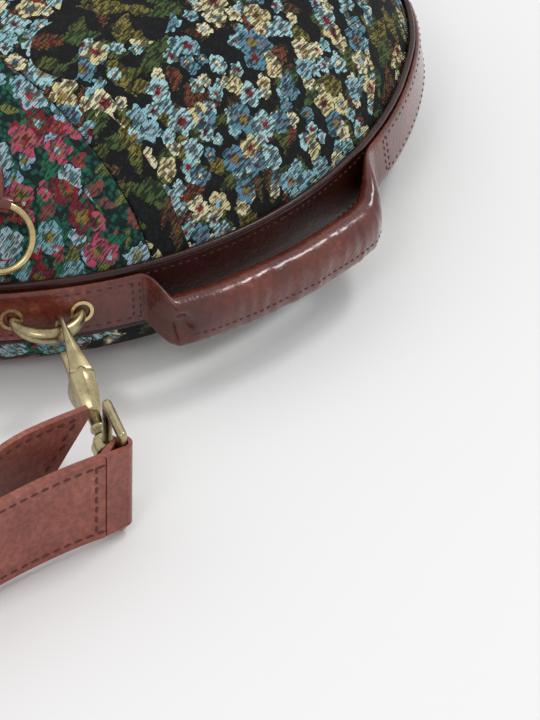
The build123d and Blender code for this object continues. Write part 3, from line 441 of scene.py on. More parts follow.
@dataclass
class Finishes:
    """All the bag's materials, made once."""

    main: FloralJacquard = FloralJacquard(
        "main_jacquard",
        ("#0B0C0D", "#15181A"),
        ("#8FC3C9", "#E2DCB4", "#A9D3D6", "#5E8C9E", "#D6CC9A", "#8CBCC6"),
        ("#56602E", "#7A1E26", "#3E5A34", "#8A7A3C", "#5E2A26"),
        12.0,
        17.0,
        1.0,
    )
    yoke: FloralJacquard = FloralJacquard(
        "yoke_jacquard",
        ("#0E2420", "#1F5A4C"),
        ("#A02238", "#8FB8CE", "#B84E68", "#A9C4D2", "#7C1A2C", "#7FB0BC"),
        ("#2A6A4C", "#8A7A34", "#1E5A4A", "#A8243C"),
        14.0,
        11.0,
        0.9,
    )
    band: Leather = Leather("band_leather", "#250D09", "#3C1811", "#664036", 1.2, 0.32)
    strap: Leather = Leather("strap_leather", "#804034", "#9C5A4C", "#B88478", 1.0, 0.40)
    grip: Leather = Leather("grip_leather", "#4C1A11", "#702E20", "#9C6858", 1.6, 0.27, 0.75, 0.75)
    edge: Leather = Leather("binding_leather", "#200A07", "#3A150F", "#6A4038", 0.9, 0.30)
    brass: AgedBrass = AgedBrass("antique_brass", "#4A4028", "#BCAE88", 0.28)
    bright: AgedBrass = AgedBrass("worn_brass", "#8E7A4A", "#CFBC8C", 0.24)
    seam: Thread = Thread("dark_thread", "#3E140F")
    cord: Thread = Thread("strap_thread", "#5A1E14")
    lining: Leather = Leather("lining_cloth", "#3A3026", "#544636", "#6A5C4A", 0.8, 0.8, 0.3, 0.0)
    made: dict[str, bpy.types.Material] = field(default_factory=dict)

    def get(self, name: str) -> bpy.types.Material:
        """Returns a finish's material, made at its first use."""
        if name not in self.made:
            self.made[name] = getattr(self, name).make()
        return self.made[name]


@dataclass(frozen=True)
class Outline:
    """The bag's outline from above, measured from the middle of the right end, counter-clockwise."""

    end_x: float = 80.0
    end_r: float = 190.0
    half: float = 40.0
    corner_r: float = 100.0

    def parts(self) -> list[tuple]:
        """The outline's arcs and straights, as (length, centre or start, radius, angle, sweep)."""
        half = math.radians(self.half)
        rest = math.pi / 2 - half
        cx = self.end_x + (self.end_r - self.corner_r) * math.cos(half)
        cy = (self.end_r - self.corner_r) * math.sin(half)
        top = cy + self.corner_r
        end, corner = self.end_r * half, self.corner_r * rest
        return [
            (end, (self.end_x, 0), self.end_r, 0, half),
            (corner, (cx, cy), self.corner_r, half, rest),
            (2 * cx, (cx, top), 0, math.pi, 0),
            (corner, (-cx, cy), self.corner_r, math.pi / 2, rest),
            (2 * end, (-self.end_x, 0), self.end_r, math.pi - half, 2 * half),
            (corner, (-cx, -cy), self.corner_r, math.pi + half, rest),
            (2 * cx, (-cx, -top), 0, 0, 0),
            (corner, (cx, -cy), self.corner_r, 1.5 * math.pi, rest),
            (end, (self.end_x, 0), self.end_r, 2 * math.pi - half, half),
        ]

    @property
    def length(self) -> float:
        """The outline's whole length in millimetres."""
        return sum(part[0] for part in self.parts())

    def at(self, arc: float) -> tuple[Vector, Vector]:
        """The point and the outward direction at an arc length.

        Args:
            arc: Millimetres from the middle of the right end.

        Returns:
            The point and the unit outward direction, both flat.
        """
        left = arc % self.length
        for length, place, radius, angle, sweep in self.parts():
            if left <= length + 1e-9:
                if radius:
                    turn = angle + sweep * left / length
                    out = Vector((math.cos(turn), math.sin(turn), 0))
                    return Vector((*place, 0)) + out * radius, out
                along = Vector((math.cos(angle), math.sin(angle), 0))
                out = Vector((along.y, -along.x, 0))
                return Vector((*place, 0)) + along * left, out
            left -= length
        return self.at(0.0)


OUTLINE = Outline()
RIM_LOW, RIM_HIGH, RIM_MID = 27.0, 49.0, 38.0
# Where each face's cloth starts, outward of the outline, how far in its shoulder runs, and the front's turn
FRONT_EDGE, BACK_EDGE, FACE_INSET, FACE_ANGLE = -4.05, -0.65, 88.0, 70
STRAP_LOW, STRAP_TALL, TONGUE_SLANT = 5.0, 40.0, 25.0


def lean(z: float) -> float:
    """How far out the band's outer face stands at a height."""
    return 3.4 * (RIM_MID - z) / 22.0


def make_object(name: str, points: Iterable, faces: Iterable, material: bpy.types.Material):
    """Makes a mesh object from points in millimetres.

    Args:
        name: The piece's name.
        points: Its corners in millimetres.
        faces: Its faces as corner numbers.
        material: Its finish.

    Returns:
        The new object, linked to the scene.
    """
    mesh = bpy.data.meshes.new(name)
    mesh.from_pydata([tuple(Vector(p) * MM) for p in points], [], [tuple(f) for f in faces])
    mesh.materials.append(material)
    mesh.polygons.foreach_set("use_smooth", [True] * len(mesh.polygons))
    mesh.update()
    made = bpy.data.objects.new(name, mesh)
    bpy.context.scene.collection.objects.link(made)
    return made


def edit(piece: bpy.types.Object, work: Callable[[], object]) -> None:
    """Runs operators on one piece in edit mode with everything selected.

    Args:
        piece: The piece to work on.
        work: What to run.
    """
    bpy.ops.object.select_all(action="DESELECT")
    bpy.context.view_layer.objects.active = piece
    piece.select_set(True)
    bpy.ops.object.mode_set(mode="EDIT")
    bpy.ops.mesh.select_all(action="SELECT")
    work()
    bpy.ops.object.mode_set(mode="OBJECT")
    piece.select_set(False)


def close_up(piece: bpy.types.Object) -> None:
    """Merges doubles and turns the faces outwards.

    Args:
        piece: The piece to clean.
    """

    def work() -> None:
        """The operators."""
        bpy.ops.mesh.remove_doubles(threshold=0.00002)
        bpy.ops.mesh.normals_make_consistent(inside=False)

    edit(piece, work)


def tube(name: str, rings: Sequence[Sequence[Vector]], material: bpy.types.Material, closed: bool = False):
    """Skins a row of closed sections.

    Args:
        name: The piece's name.
        rings: Sections with the same number of points.
        material: The finish.
        closed: Whether the last section joins the first.

    Returns:
        The new object.
    """
    count = len(rings[0])
    points = [p for ring in rings for p in ring]
    faces = []
    rows = len(rings) if closed else len(rings) - 1
    for i in range(rows):
        for j in range(count):
            a, b = i * count + j, i * count + (j + 1) % count
            c = ((i + 1) % len(rings)) * count
            faces.append((a, b, c + (j + 1) % count, c + j))
    if not closed:
        faces.append(tuple(range(count)))
        faces.append(tuple(range(len(points) - count, len(points)))[::-1])
    made = make_object(name, points, faces, material)
    close_up(made)
    return made


def rounded(corners: Section, radius: float, steps: int = 3) -> list[tuple[float, float]]:
    """Rounds a polygon's corners.

    Args:
        corners: The polygon's corners.
        radius: The rounding in millimetres.
        steps: Points on each rounded corner, less one.

    Returns:
        The rounded polygon's points.
    """
    out = []
    for i, corner in enumerate(corners):
        here = Vector(corner)
        before = Vector(corners[i - 1]) - here
        after = Vector(corners[(i + 1) % len(corners)]) - here
        size = min(radius, before.length * 0.48, after.length * 0.48)
        first, last = here + before.normalized() * size, here + after.normalized() * size
        for k in range(steps + 1):
            t = k / steps
            spot = first * (1 - t) ** 2 + here * 2 * t * (1 - t) + last * t * t
            out.append((spot.x, spot.y))
    return out


def on_band(arc: float, u: float, z: float) -> Vector:
    """A point at a distance out from the outline, at a height."""
    spot, out = OUTLINE.at(arc)
    return spot + out * u + Vector((0, 0, z))


def wobble(spot: Vector, size_mm: float, amount: float, seed: float = 0.0) -> float:
    """Smooth noise at a point.

    Args:
        spot: Where, in millimetres.
        size_mm: The size of its waves.
        amount: How much at most.
        seed: Shifts the noise.

    Returns:
        A value between plus and minus the amount.
    """
    return amount * noise.noise(Vector(spot) / size_mm + Vector((seed, seed, seed)))


class Stitches:
    """Rows of stitches, modelled once and copied along their lines."""

    def __init__(self, name: str, material: bpy.types.Material, size: Point = (2.2, 0.8, 0.5)) -> None:
        """Makes the single stitch: a grain shape, thicker in its middle.

        Args:
            name: The row's name.
            material: The thread.
            size: Length, width and height in millimetres.
        """
        bpy.ops.mesh.primitive_uv_sphere_add(segments=8, ring_count=6, radius=0.5 * MM)
        seed = bpy.context.active_object
        edit(seed, lambda: bpy.ops.transform.resize(value=size, center_override=(0, 0, 0)))
        self.name, self.material = name, material
        self.points = [Vector(v.co) / MM for v in seed.data.vertices]
        self.faces = [tuple(p.vertices) for p in seed.data.polygons]
        bpy.data.objects.remove(seed)
        self.all_points: list[Vector] = []
        self.all_faces: list[tuple] = []

    def row(self, line: Line, pitch: float, slant: float = 0.0) -> None:
        """Lays stitches along a line.

        Args:
            line: Points of the line with the surface's normal at each.
            pitch: The distance between stitches in millimetres.
            slant: How much each stitch is turned from the line, in degrees.
        """
        left = pitch * 0.5
        for (a, na), (b, nb) in zip(line, line[1:]):
            step = (b - a).length
            while left <= step:
                t = left / step
                self.place(a.lerp(b, t), b - a, na.lerp(nb, t), slant)
                left += pitch
            left -= step

    def place(self, spot: Vector, way: Vector, normal: Vector, slant: float) -> None:
        """Lays one stitch.

        Args:
            spot: Its middle.
            way: Its direction.
            normal: The surface's normal.
            slant: Its turn about the normal in degrees.
        """
        z = normal.normalized()
        x = (way - z * way.dot(z)).normalized()
        y = z.cross(x)
        turn = math.radians(slant)
        x, y = x * math.cos(turn) + y * math.sin(turn), y * math.cos(turn) - x * math.sin(turn)
        base = len(self.all_points)
        self.all_points += [spot + x * p.x + y * p.y + z * p.z for p in self.points]
        self.all_faces += [tuple(base + i for i in f) for f in self.faces]

    def build(self, body: str = "bag", slot: str = "strap_leather") -> bpy.types.Object:
        """Makes the rows one object and puts it on its body."""
        made = make_object(self.name, self.all_points, self.all_faces, self.material)
        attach(made, body)
        return made


@dataclass
class TapestryFace:
    """One face of the bag: a soft shell of two cloths sewn together, drawn in at the rim."""

    front: bool
    seam: tuple[Point, ...]
    crown: float
    stations: int = 320
    steps: int = 24
    cap: int = 14

    def profile(self) -> list[tuple[float, float]]:
        """The face's section from the rim to where the middle starts, as (outward, up)."""
        if self.front:
            turn = math.radians(FACE_ANGLE)
            edge, radius = FRONT_EDGE, FACE_INSET / math.sin(turn)
            centre = (edge - FACE_INSET, RIM_HIGH + radius * (1 - math.cos(turn)) - radius)
            first = 90 - FACE_ANGLE
            angles = [math.radians(first + FACE_ANGLE * i / self.steps) for i in range(self.steps + 1)]
            arc = [(centre[0] + radius * math.cos(a), centre[1] + radius * math.sin(a)) for a in angles]
            return [(edge + 0.5, RIM_HIGH - 3.0)] + arc
        edge, radius = BACK_EDGE, RIM_LOW
        angles = [-math.radians(90 * i / self.steps) for i in range(self.steps + 1)]
        arc = [(edge - radius + radius * math.cos(a), radius + radius * math.sin(a)) for a in angles]
        return [(edge - 0.6, RIM_LOW + 3.0)] + arc + [(edge - radius - 40.0, 0.0), (edge - FACE_INSET, 0.0)]

    def seam_y(self, x: float) -> float:
        """Where the seam lies at a distance along the bag."""
        knots = self.seam
        reach = min(abs(x), knots[-1][0])
        for (x0, y0, _), (x1, y1, _) in zip(knots, knots[1:]):
            if reach <= x1:
                t = (reach - x0) / (x1 - x0)
                t = t * t * (3 - 2 * t) * 0.5 + t * 0.5
                return y0 + (y1 - y0) * t
        return knots[-1][1]

    def build(self, finishes: Finishes) -> None:
        """Builds the two cloths and puts them in place of their nodes.

        Args:
            finishes: The bag's materials.
        """
        profile = self.profile()
        lengths = [0.0]
        for (u0, z0), (u1, z1) in zip(profile, profile[1:]):
            lengths.append(lengths[-1] + math.hypot(u1 - u0, z1 - z0))
        side = 1 if self.front else -1
        points, flat, faces = [], [], []
        rows = len(profile) + self.cap
        last_u, last_z = profile[-1]
        for i in range(self.stations):
            arc = OUTLINE.length * i / self.stations
            spot, out = OUTLINE.at(arc)
            for (u, z), run in zip(profile, lengths):
                p = spot + out * u + Vector((0, 0, z))
                rise = max(0.0, min(1.0, -u / 60.0))
                flatness = min(1.0, max(0.0, (z - 50.0) / 30.0)) if self.front else 0.0
                p.z += side * self.crown * 0.25 * rise * rise * flatness
                away = (z - RIM_HIGH) / 7.0 if self.front else (RIM_LOW - z) / 6.0
                near = math.exp(-away ** 2)
                p += out * (wobble(p, 14.0, 0.5, 3.0) * near + wobble(p, 70.0, 1.1, 5.0) * rise * flatness)
                points.append(p)
                flat_spot = spot + out * (last_u + lengths[-1] - run)
                flat.append((flat_spot.x, flat_spot.y))
            edge = spot + out * last_u
            middle = Vector((max(-120.0, min(120.0, edge.x)), 0, 0))
            for k in range(1, self.cap + 1):
                t = k / self.cap
                p = edge.lerp(middle, t)
                lift = self.crown * (0.25 + 0.75 * math.sin(math.pi / 2 * t))
                p.z = last_z + side * lift + wobble(p, 70.0, 1.2, 5.0) * (1 if self.front else 0)
                points.append(p)
                flat.append((p.x, p.y))
        for i in range(self.stations):
            j = (i + 1) % self.stations
            for k in range(rows - 1):
                faces.append((i * rows + k, j * rows + k, j * rows + k + 1, i * rows + k + 1))
        word = "front" if self.front else "back"
        for part, keep in (("main", 1), ("yoke", -1)):
            self.cloth(f"{word}_{part}", points, flat, faces, keep, finishes.get(part), side)

    def cloth(
        self,
        name: str,
        points: Sequence[Vector],
        flat: Section,
        faces: Iterable,
        keep: int,
        material: bpy.types.Material,
        side: int,
    ) -> None:
        """Cuts one cloth out of the shell along the seam.

        Args:
            name: The cloth's name.
            points: The shell's corners.
            flat: Where each corner lies in the uncut cloth.
            faces: The shell's faces.
            keep: Which side of the seam stays, 1 for the bottom of the bag and -1 for its top.
            material: The cloth's finish.
            side: 1 on the front face and -1 on the back.
        """
        sheared = [Vector((p.x, p.y - self.seam_y(p.x), p.z)) for p in points]
        made = make_object(name + "_cloth", sheared, faces, material)
        layer = made.data.uv_layers.new(name="cloth")
        for loop in made.data.loops:
            u, v = flat[loop.vertex_index]
            layer.data[loop.index].uv = (u * MM + 0.5, v * MM + 0.5)

        def work() -> None:
            """Bisects at the seam's fold lines and drops the other side."""
            for offset in (0.0, 0.8, 2.2, 4.0):
                bpy.ops.mesh.select_all(action="SELECT")
                bpy.ops.mesh.bisect(
                    plane_co=(0, keep * offset * MM, 0),
                    plane_no=(0, keep, 0),
                    clear_inner=offset == 0.0,
                    clear_outer=False,
                )
            bpy.ops.mesh.select_all(action="SELECT")
            bpy.ops.mesh.remove_doubles(threshold=0.00002)
            bpy.ops.mesh.normals_make_consistent(inside=False)

        edit(made, work)
        centre = Vector((0, 0, 40.0))
        for vertex in made.data.vertices:
            p = vertex.co / MM
            # The seam sinks between two low folds
            folds = ((0.4, -0.7), (1.4, 0.35), (3.0, 0.25))
            lift = next((height for reach, height in folds if abs(p.y) < reach), 0.0)
            p.y += self.seam_y(p.x)
            way = (p - centre).normalized() if self.front else Vector((0, 0, 0))
            vertex.co = (p + way * lift) * MM
        flipped = sum(f.normal.z for f in made.data.polygons) * side < 0
        if flipped:
            edit(made, bpy.ops.mesh.flip_normals)
        thick = made.modifiers.new("cloth", "SOLIDIFY")
        thick.thickness = 0.0012
        thick.offset = -1.0
        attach(made, "bag")
        part = name.split("_")
        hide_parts(f"{part[0]}_{part[1]}_panel")
        LOG.info("built %s", name)


@dataclass
class LeatherBand:
    """The band's dressing: rounded bindings along both rims and their rows of stitches."""

    pitch: float = 3.6

    def build(self, finishes: Finishes) -> None:
        """Builds the bindings and the stitches.

        Args:
            finishes: The bag's materials.
        """
        front = rounded([(0.7, 49.05), (-2.0, 49.05), (-2.3, 51.8), (0.4, 51.9)], 1.2, 4)
        back = rounded([(2.3, 24.1), (-0.3, 24.2), (-0.5, 26.95), (2.2, 26.95)], 1.2, 4)
        for word, section, z in (("front", front, 49.0), ("back", back, 27.0)):
            shift = lean(z) if word == "front" else 0.0
            rings = []
            for i in range(360):
                arc = OUTLINE.length * i / 360
                spot, out = OUTLINE.at(arc)
                bend = wobble(spot, 11.0, 0.22, 1.0)
                rings.append([spot + out * (u + shift + bend) + Vector((0, 0, v + bend)) for u, v in section])
            made = tube(f"{word}_rim_binding_leather", rings, finishes.get("edge"), closed=True)
            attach(made, "bag")
            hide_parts(f"{word}_rim_binding")
        rows = Stitches("rim_stitches", finishes.get("seam"))
        for z in (46.9, 29.3):
            line = []
            for i in range(720):
                arc = OUTLINE.length * i / 719
                spot, out = OUTLINE.at(arc)
                line.append((spot + out * (lean(z) + 0.05) + Vector((0, 0, z)), out + Vector((0, 0, 0.15))))
            rows.row(line, self.pitch)
        rows.build(slot="band_leather")
        LOG.info("built the bindings")


GRIP_SECTION: Section = (
    (9.0, 44.5), (11.5, 46.6), (16.0, 47.2), (20.5, 45.6), (23.6, 42.0), (24.6, 37.5),
    (24.3, 33.0), (24.0, 28.5), (23.0, 23.0), (22.0, 22.2), (20.0, 22.2), (18.8, 23.0),
    (17.5, 27.0), (14.0, 29.2), (10.0, 31.5), (8.2, 35.0), (7.9, 39.0), (8.2, 42.0),
)
ROOT_SECTION: Section = (
    (0.2, 48.3), (0.8, 48.6), (1.6, 48.6), (2.3, 48.0), (2.4, 45.0), (2.4, 41.0),
    (2.4, 37.0), (2.4, 33.0), (2.4, 28.6), (2.0, 27.6), (1.0, 27.5), (0.2, 27.8),
    (0.15, 30.0), (0.15, 32.0), (0.15, 35.0), (0.15, 38.0), (0.15, 42.0), (0.15, 45.0),
)
GRIP_MIDDLE = (17.0, 34.0)


@dataclass
class SideStrap:
    """A leather strap along one end of the bag: sewn tabs and a rolled grip between them."""

    end: End
    # Where the grip's full section ends and where it has sunk into the tab, on each side
    near: tuple[float, float] = (61.0, 69.0)
    far: tuple[float, float] = (30.0, 61.0)
    slim: float = 0.82
    tail: float = 168.0
    mouth_arc: float = -60.0
    mouth_depth: float = 8.0
    tab_rows: tuple[float, float] = (30.2, 45.8)

    def blend(self, arc: float) -> float:
        """How much of the grip's section there is at an arc length."""
        full, root = self.far if arc > 0 else self.near
        t = (root - abs(arc)) / (root - full)
        t = max(0.0, min(1.0, t))
        return t * t * (3 - 2 * t)

    def section(self, arc: float) -> list[tuple[float, float]]:
        """The strap's section at an arc length, as (outward, up)."""
        t = self.blend(arc)
        swell = math.sin(math.pi * t)
        out = []
        for (ru, rz), (gu, gz) in zip(ROOT_SECTION, GRIP_SECTION):
            gu = GRIP_MIDDLE[0] + (gu - GRIP_MIDDLE[0]) * self.slim
            gz = GRIP_MIDDLE[1] + (gz - GRIP_MIDDLE[1]) * self.slim
            u, z = (ru + lean(rz)) * (1 - t) + gu * t, rz * (1 - t) + gz * t
            out.append((u, z + swell * 2.2 * (1 if z > 40 else -1 if z < 32 else 0)))
        return out

    def place(self, arc: float, u: float, z: float) -> Vector:
        """A point beside the outline, at this end of the bag.

        Args:
            arc: Millimetres from the middle of the end.
            u: Distance out from the outline.
            z: Height.

        Returns:
            The point in millimetres.
        """
        p = on_band(arc, u, z)
        return Vector((p.x * self.end.value, p.y, p.z))

    def build(self, finishes: Finishes) -> None:
        """Builds the strap and its stitches.

        Args:
            finishes: The bag's materials.
        """
        arcs = [-self.tail, -self.tail + 0.8]
        arc = -self.tail + 3.0
        while arc < self.tail - 2.0:
            arcs.append(arc)
            arc += 1.2 if abs(arc) < self.near[1] + 4 else 3.2
        arcs += [self.tail - 0.8, self.tail]
        rings = []
        for arc in arcs:
            t = self.blend(arc)
            tip = 0.85 if abs(arc) > self.tail - 0.5 else 1.0
            ring = []
            for u, z in self.section(arc):
                crease = wobble(Vector((arc, u * 3.0, z * 1.5)), 4.0, 0.35, 2.0)
                crease += wobble(Vector((arc * 2.2, u, z * 0.4)), 7.0, 0.55, 7.0)
                swell = wobble(Vector((arc, 0, z * 0.3)), 22.0, 0.9, 4.0)
                u += (crease + swell) * t if u > lean(z) + 1.0 else 0.0
                mouth = math.exp(-(((arc - self.mouth_arc) / 4.5) ** 2)) * self.mouth_depth
                u -= mouth * max(0.0, 1.0 - abs(z - 35.0) / 7.5) if u > 12.0 else 0.0
                u = lean(z) + (u - lean(z)) * tip
                ring.append(self.place(arc, u, RIM_MID + (z - RIM_MID) * (1 - (1 - tip) * 0.2)))
            rings.append(ring)
        made = tube(f"{self.end.word}_side_strap_leather", rings, finishes.get("grip"))
        soft = made.modifiers.new("soft", "SUBSURF")
        soft.levels = soft.render_levels = 1
        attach(made, "bag")
        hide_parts(f"{self.end.word}_side_strap")
        self.fill(finishes)
        self.sew(made, finishes)
        LOG.info("built the %s side strap", self.end.word)

    def fill(self, finishes: Finishes) -> None:
        """Builds the cord that pads the grip, inside the leather.

        Args:
            finishes: The bag's materials.
        """
        rings = []
        for arc in range(-52, 25, 4):
            turns = [2 * math.pi * k / 12 for k in range(12)]
            rings.append([self.place(arc, 16.2 + 4.2 * math.cos(a), 37.0 + 4.2 * math.sin(a)) for a in turns])
        cord = tube(f"{self.end.word}_grip_cord", rings, finishes.get("lining"))
        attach(cord, "bag")
        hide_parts(f"{self.end.word}_grip_core")

    def press(self, leather: bpy.types.Object, line: Line) -> Line:
        """Moves a row of stitches onto the leather's real surface.

        Args:
            leather: The finished strap.
            line: The row as drawn.

        Returns:
            The row on the surface, without the points that miss it.
        """
        out = []
        for spot, way in line:
            way = way.normalized()
            hit, where, facing, _ = leather.ray_cast((spot + way * 9.0) * MM, -way, distance=0.022)
            if hit:
                out.append((where / MM, facing))
        return out

    def sew(self, leather: bpy.types.Object, finishes: Finishes) -> None:
        """Lays the stitches of the grip and of the tabs.

        Args:
            leather: The finished strap.
            finishes: The bag's materials.
        """
        bpy.context.view_layer.update()
        rows = Stitches(f"{self.end.word}_strap_stitches", finishes.get("seam"), (2.1, 0.85, 0.6))
        line = []
        for arc in range(-56, 57, 2):
            t = self.blend(arc)
            u, z = 22.5 * t + (2.45 + lean(30.0)) * (1 - t), 29.5 * t + 31.0 * (1 - t)
            here, there = self.place(arc, u, z), self.place(arc, u + 1.0, z + 0.1)
            line.append((here, there - here))
        rows.row(self.press(leather, line), 3.3)
        low, high = self.tab_rows
        for first, last in ((-163.0, -70.0), (70.0, 163.0)):
            for z in (high, low):
                line = [self.tab_spot(first + (last - first) * i / 47, z) for i in range(48)]
                rows.row(self.press(leather, line), 4.4)
            for arc in (first, last, last - 3.0 if last < 0 else first + 3.0):
                line = [self.tab_spot(arc, low + (high - low) * i / 7) for i in range(8)]
                rows.row(self.press(leather, line), 3.3)
        rows.build()

    def tab_spot(self, arc: float, z: float) -> tuple[Vector, Vector]:
        """A point on a tab's outer side, and the way out from it."""
        here, there = self.place(arc, lean(z) + 2.42, z), self.place(arc, lean(z) + 3.4, z + 0.15)
        return here, there - here


# Distance along the hook, half width, top, bottom and whether the gate's slot is open there
HOOK_BODY = (
    (31.0, 3.9, 7.6, -6.6, True),
    (32.0, 4.7, 8.0, -7.9, True),
    (35.0, 4.9, 8.0, -8.1, True),
    (37.6, 4.7, 7.7, -8.1, True),
    (38.0, 4.6, 7.6, -8.1, False),
    (42.0, 4.3, 6.7, -6.8, False),
    (46.0, 3.9, 5.2, -5.2, False),
    (49.0, 3.5, 4.0, -4.0, False),
    (50.2, 2.9, 3.0, -3.0, False),
)
# Distance along the hook and radius of the neck, the collar, the stem and the rivet
HOOK_NECK: Section = (
    (48.5, 2.8), (56.0, 2.6), (57.0, 3.4), (58.0, 3.4), (59.0, 2.6), (62.2, 2.7),
    (62.5, 4.0), (62.9, 4.2), (63.9, 4.2), (64.3, 4.0), (64.4, 2.0), (72.8, 2.0),
    (72.9, 3.7), (73.4, 4.0), (74.2, 3.4), (74.4, 2.2),
)


@dataclass
class SnapHook:
    """The cast body of a snap hook: a pointed crook, a ridged blade that widens, a turned neck."""

    end: End
    crown: Point = (246.3, -102.4, 38.1)
    along: Point = (0.8875, -0.4195, -0.1908)
    reach: float = 8.1
    bend: float = 6.55
    slot_roof: float = -2.1

    def place(self, x: float, y: float, z: float) -> Vector:
        """A point from the hook's own measures.

        Args:
            x: Distance along the hook from its crown.
            y: Height above its middle line.
            z: Distance sideways.

        Returns:
            The point in millimetres.
        """
        way = Vector(self.along)
        aside = Vector((way.y, -way.x, 0)).normalized()
        up = aside.cross(way)
        up = up if up.z > 0 else -up
        p = Vector(self.crown) + way * x + up * y + aside * z
        return Vector((p.x * self.end.value, p.y, p.z))

    def crook(self) -> list[list[Vector]]:
        """Rings of the crook and the blade, from the hook's nose over its crown to the shoulders."""
        rings = []
        for i in range(24):
            turn = math.radians(-112 - 158 * i / 23)
            wide = 0.9 + 0.35 * math.sin(math.pi * i / 23)
            mid = Vector((self.reach + self.bend * math.cos(turn), self.bend * math.sin(turn)))
            out = Vector((math.cos(turn), math.sin(turn)))
            ring = []
            for across, depth in self.wedge(wide, (1.7, 0.4, -0.9, -1.6)):
                spot = mid + out * depth
                ring.append(self.place(spot.x, spot.y, across))
            rings.append(ring)
        for i in range(1, 14):
            t = i / 13
            x = self.reach + 25.0 * t
            wide = 1.0 + 3.6 * t ** 1.15
            ring = []
            for across, y in self.wedge(wide, (8.2, 7.0, 5.7, 4.95)):
                ring.append(self.place(x, y - 0.6 * t * (y > 8), across))
            rings.append(ring)
        return rings

    def wedge(self, wide: float, levels: Sequence[float]) -> Section:
        """A ridged section.

        Args:
            wide: Its half width.
            levels: The heights of its ridge, shoulders, flanks and narrow foot.

        Returns:
            Its corners, as (across, level).
        """
        ridge, shoulder, flank, foot = levels
        right = ((wide, shoulder), (wide, flank), (0.5, foot))
        return ((0, ridge), *right, *((-across, level) for across, level in right[::-1]))

    def body(self) -> list[list[Vector]]:
        """Rings of the hollow body that carries the gate's pin, closing into the neck."""
        rings = []
        for x, wide, top, low, is_open in HOOK_BODY:
            roof = self.slot_roof if is_open else low
            inner = 2.2 if is_open else 0.8
            right = ((wide, top - 1.6), (wide, low + 1.0), (wide - 0.6, low), (inner, low), (inner, roof))
            outline = ((0, top), *right, *((-across, y) for across, y in right[::-1]))
            rings.append([self.place(x, y, across) for across, y in outline])
        return rings

    def neck(self) -> list[list[Vector]]:
        """Rings of the turned neck, collar, stem and rivet."""
        rings = []
        for x, radius in HOOK_NECK:
            turns = [2 * math.pi * k / 20 for k in range(20)]
            rings.append([self.place(x, radius * math.cos(a), radius * math.sin(a)) for a in turns])
        return rings

    def build(self, finishes: Finishes) -> None:
        """Builds the hook's cast body.

        Args:
            finishes: The bag's materials.
        """
        word = self.end.word
        parts = (("crook", self.crook()), ("body", self.body()), ("neck", self.neck()))
        for part, rings in parts:
            made = tube(f"{word}_hook_{part}", rings, finishes.get("brass"))
            if part != "neck":
                edge = made.modifiers.new("cast_edges", "BEVEL")
                edge.width = 0.35 * MM
                edge.segments = 2
                edge.limit_method = "ANGLE"
            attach(made, f"{word}_hook")
            if part == "body":
                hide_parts(f"{word}_hook_body")
        LOG.info("built the %s hook", word)


SHORT_RUN: Section = ((322.9, -150.0), (322.0, -166.0), (318.5, -197.0), (317.0, -229.0))
LONG_RUN: Section = (
    (300.0, -135.0), (296.0, -156.0), (295.5, -176.0), (304.0, -196.0), (312.6, -208.0), (313.3, -216.0),
    (312.4, -228.0), (310.6, -240.0), (315.6, -250.0), (322.4, -261.0), (322.6, -276.0), (306.0, -304.0),
    (276.0, -318.0), (201.0, -317.5), (0.0, -319.0), (-201.0, -317.5), (-276.0, -318.0), (-308.0, -302.0),
    (-320.0, -262.0), (-318.5, -197.0), (-322.0, -166.0), (-325.0, -151.0),
)


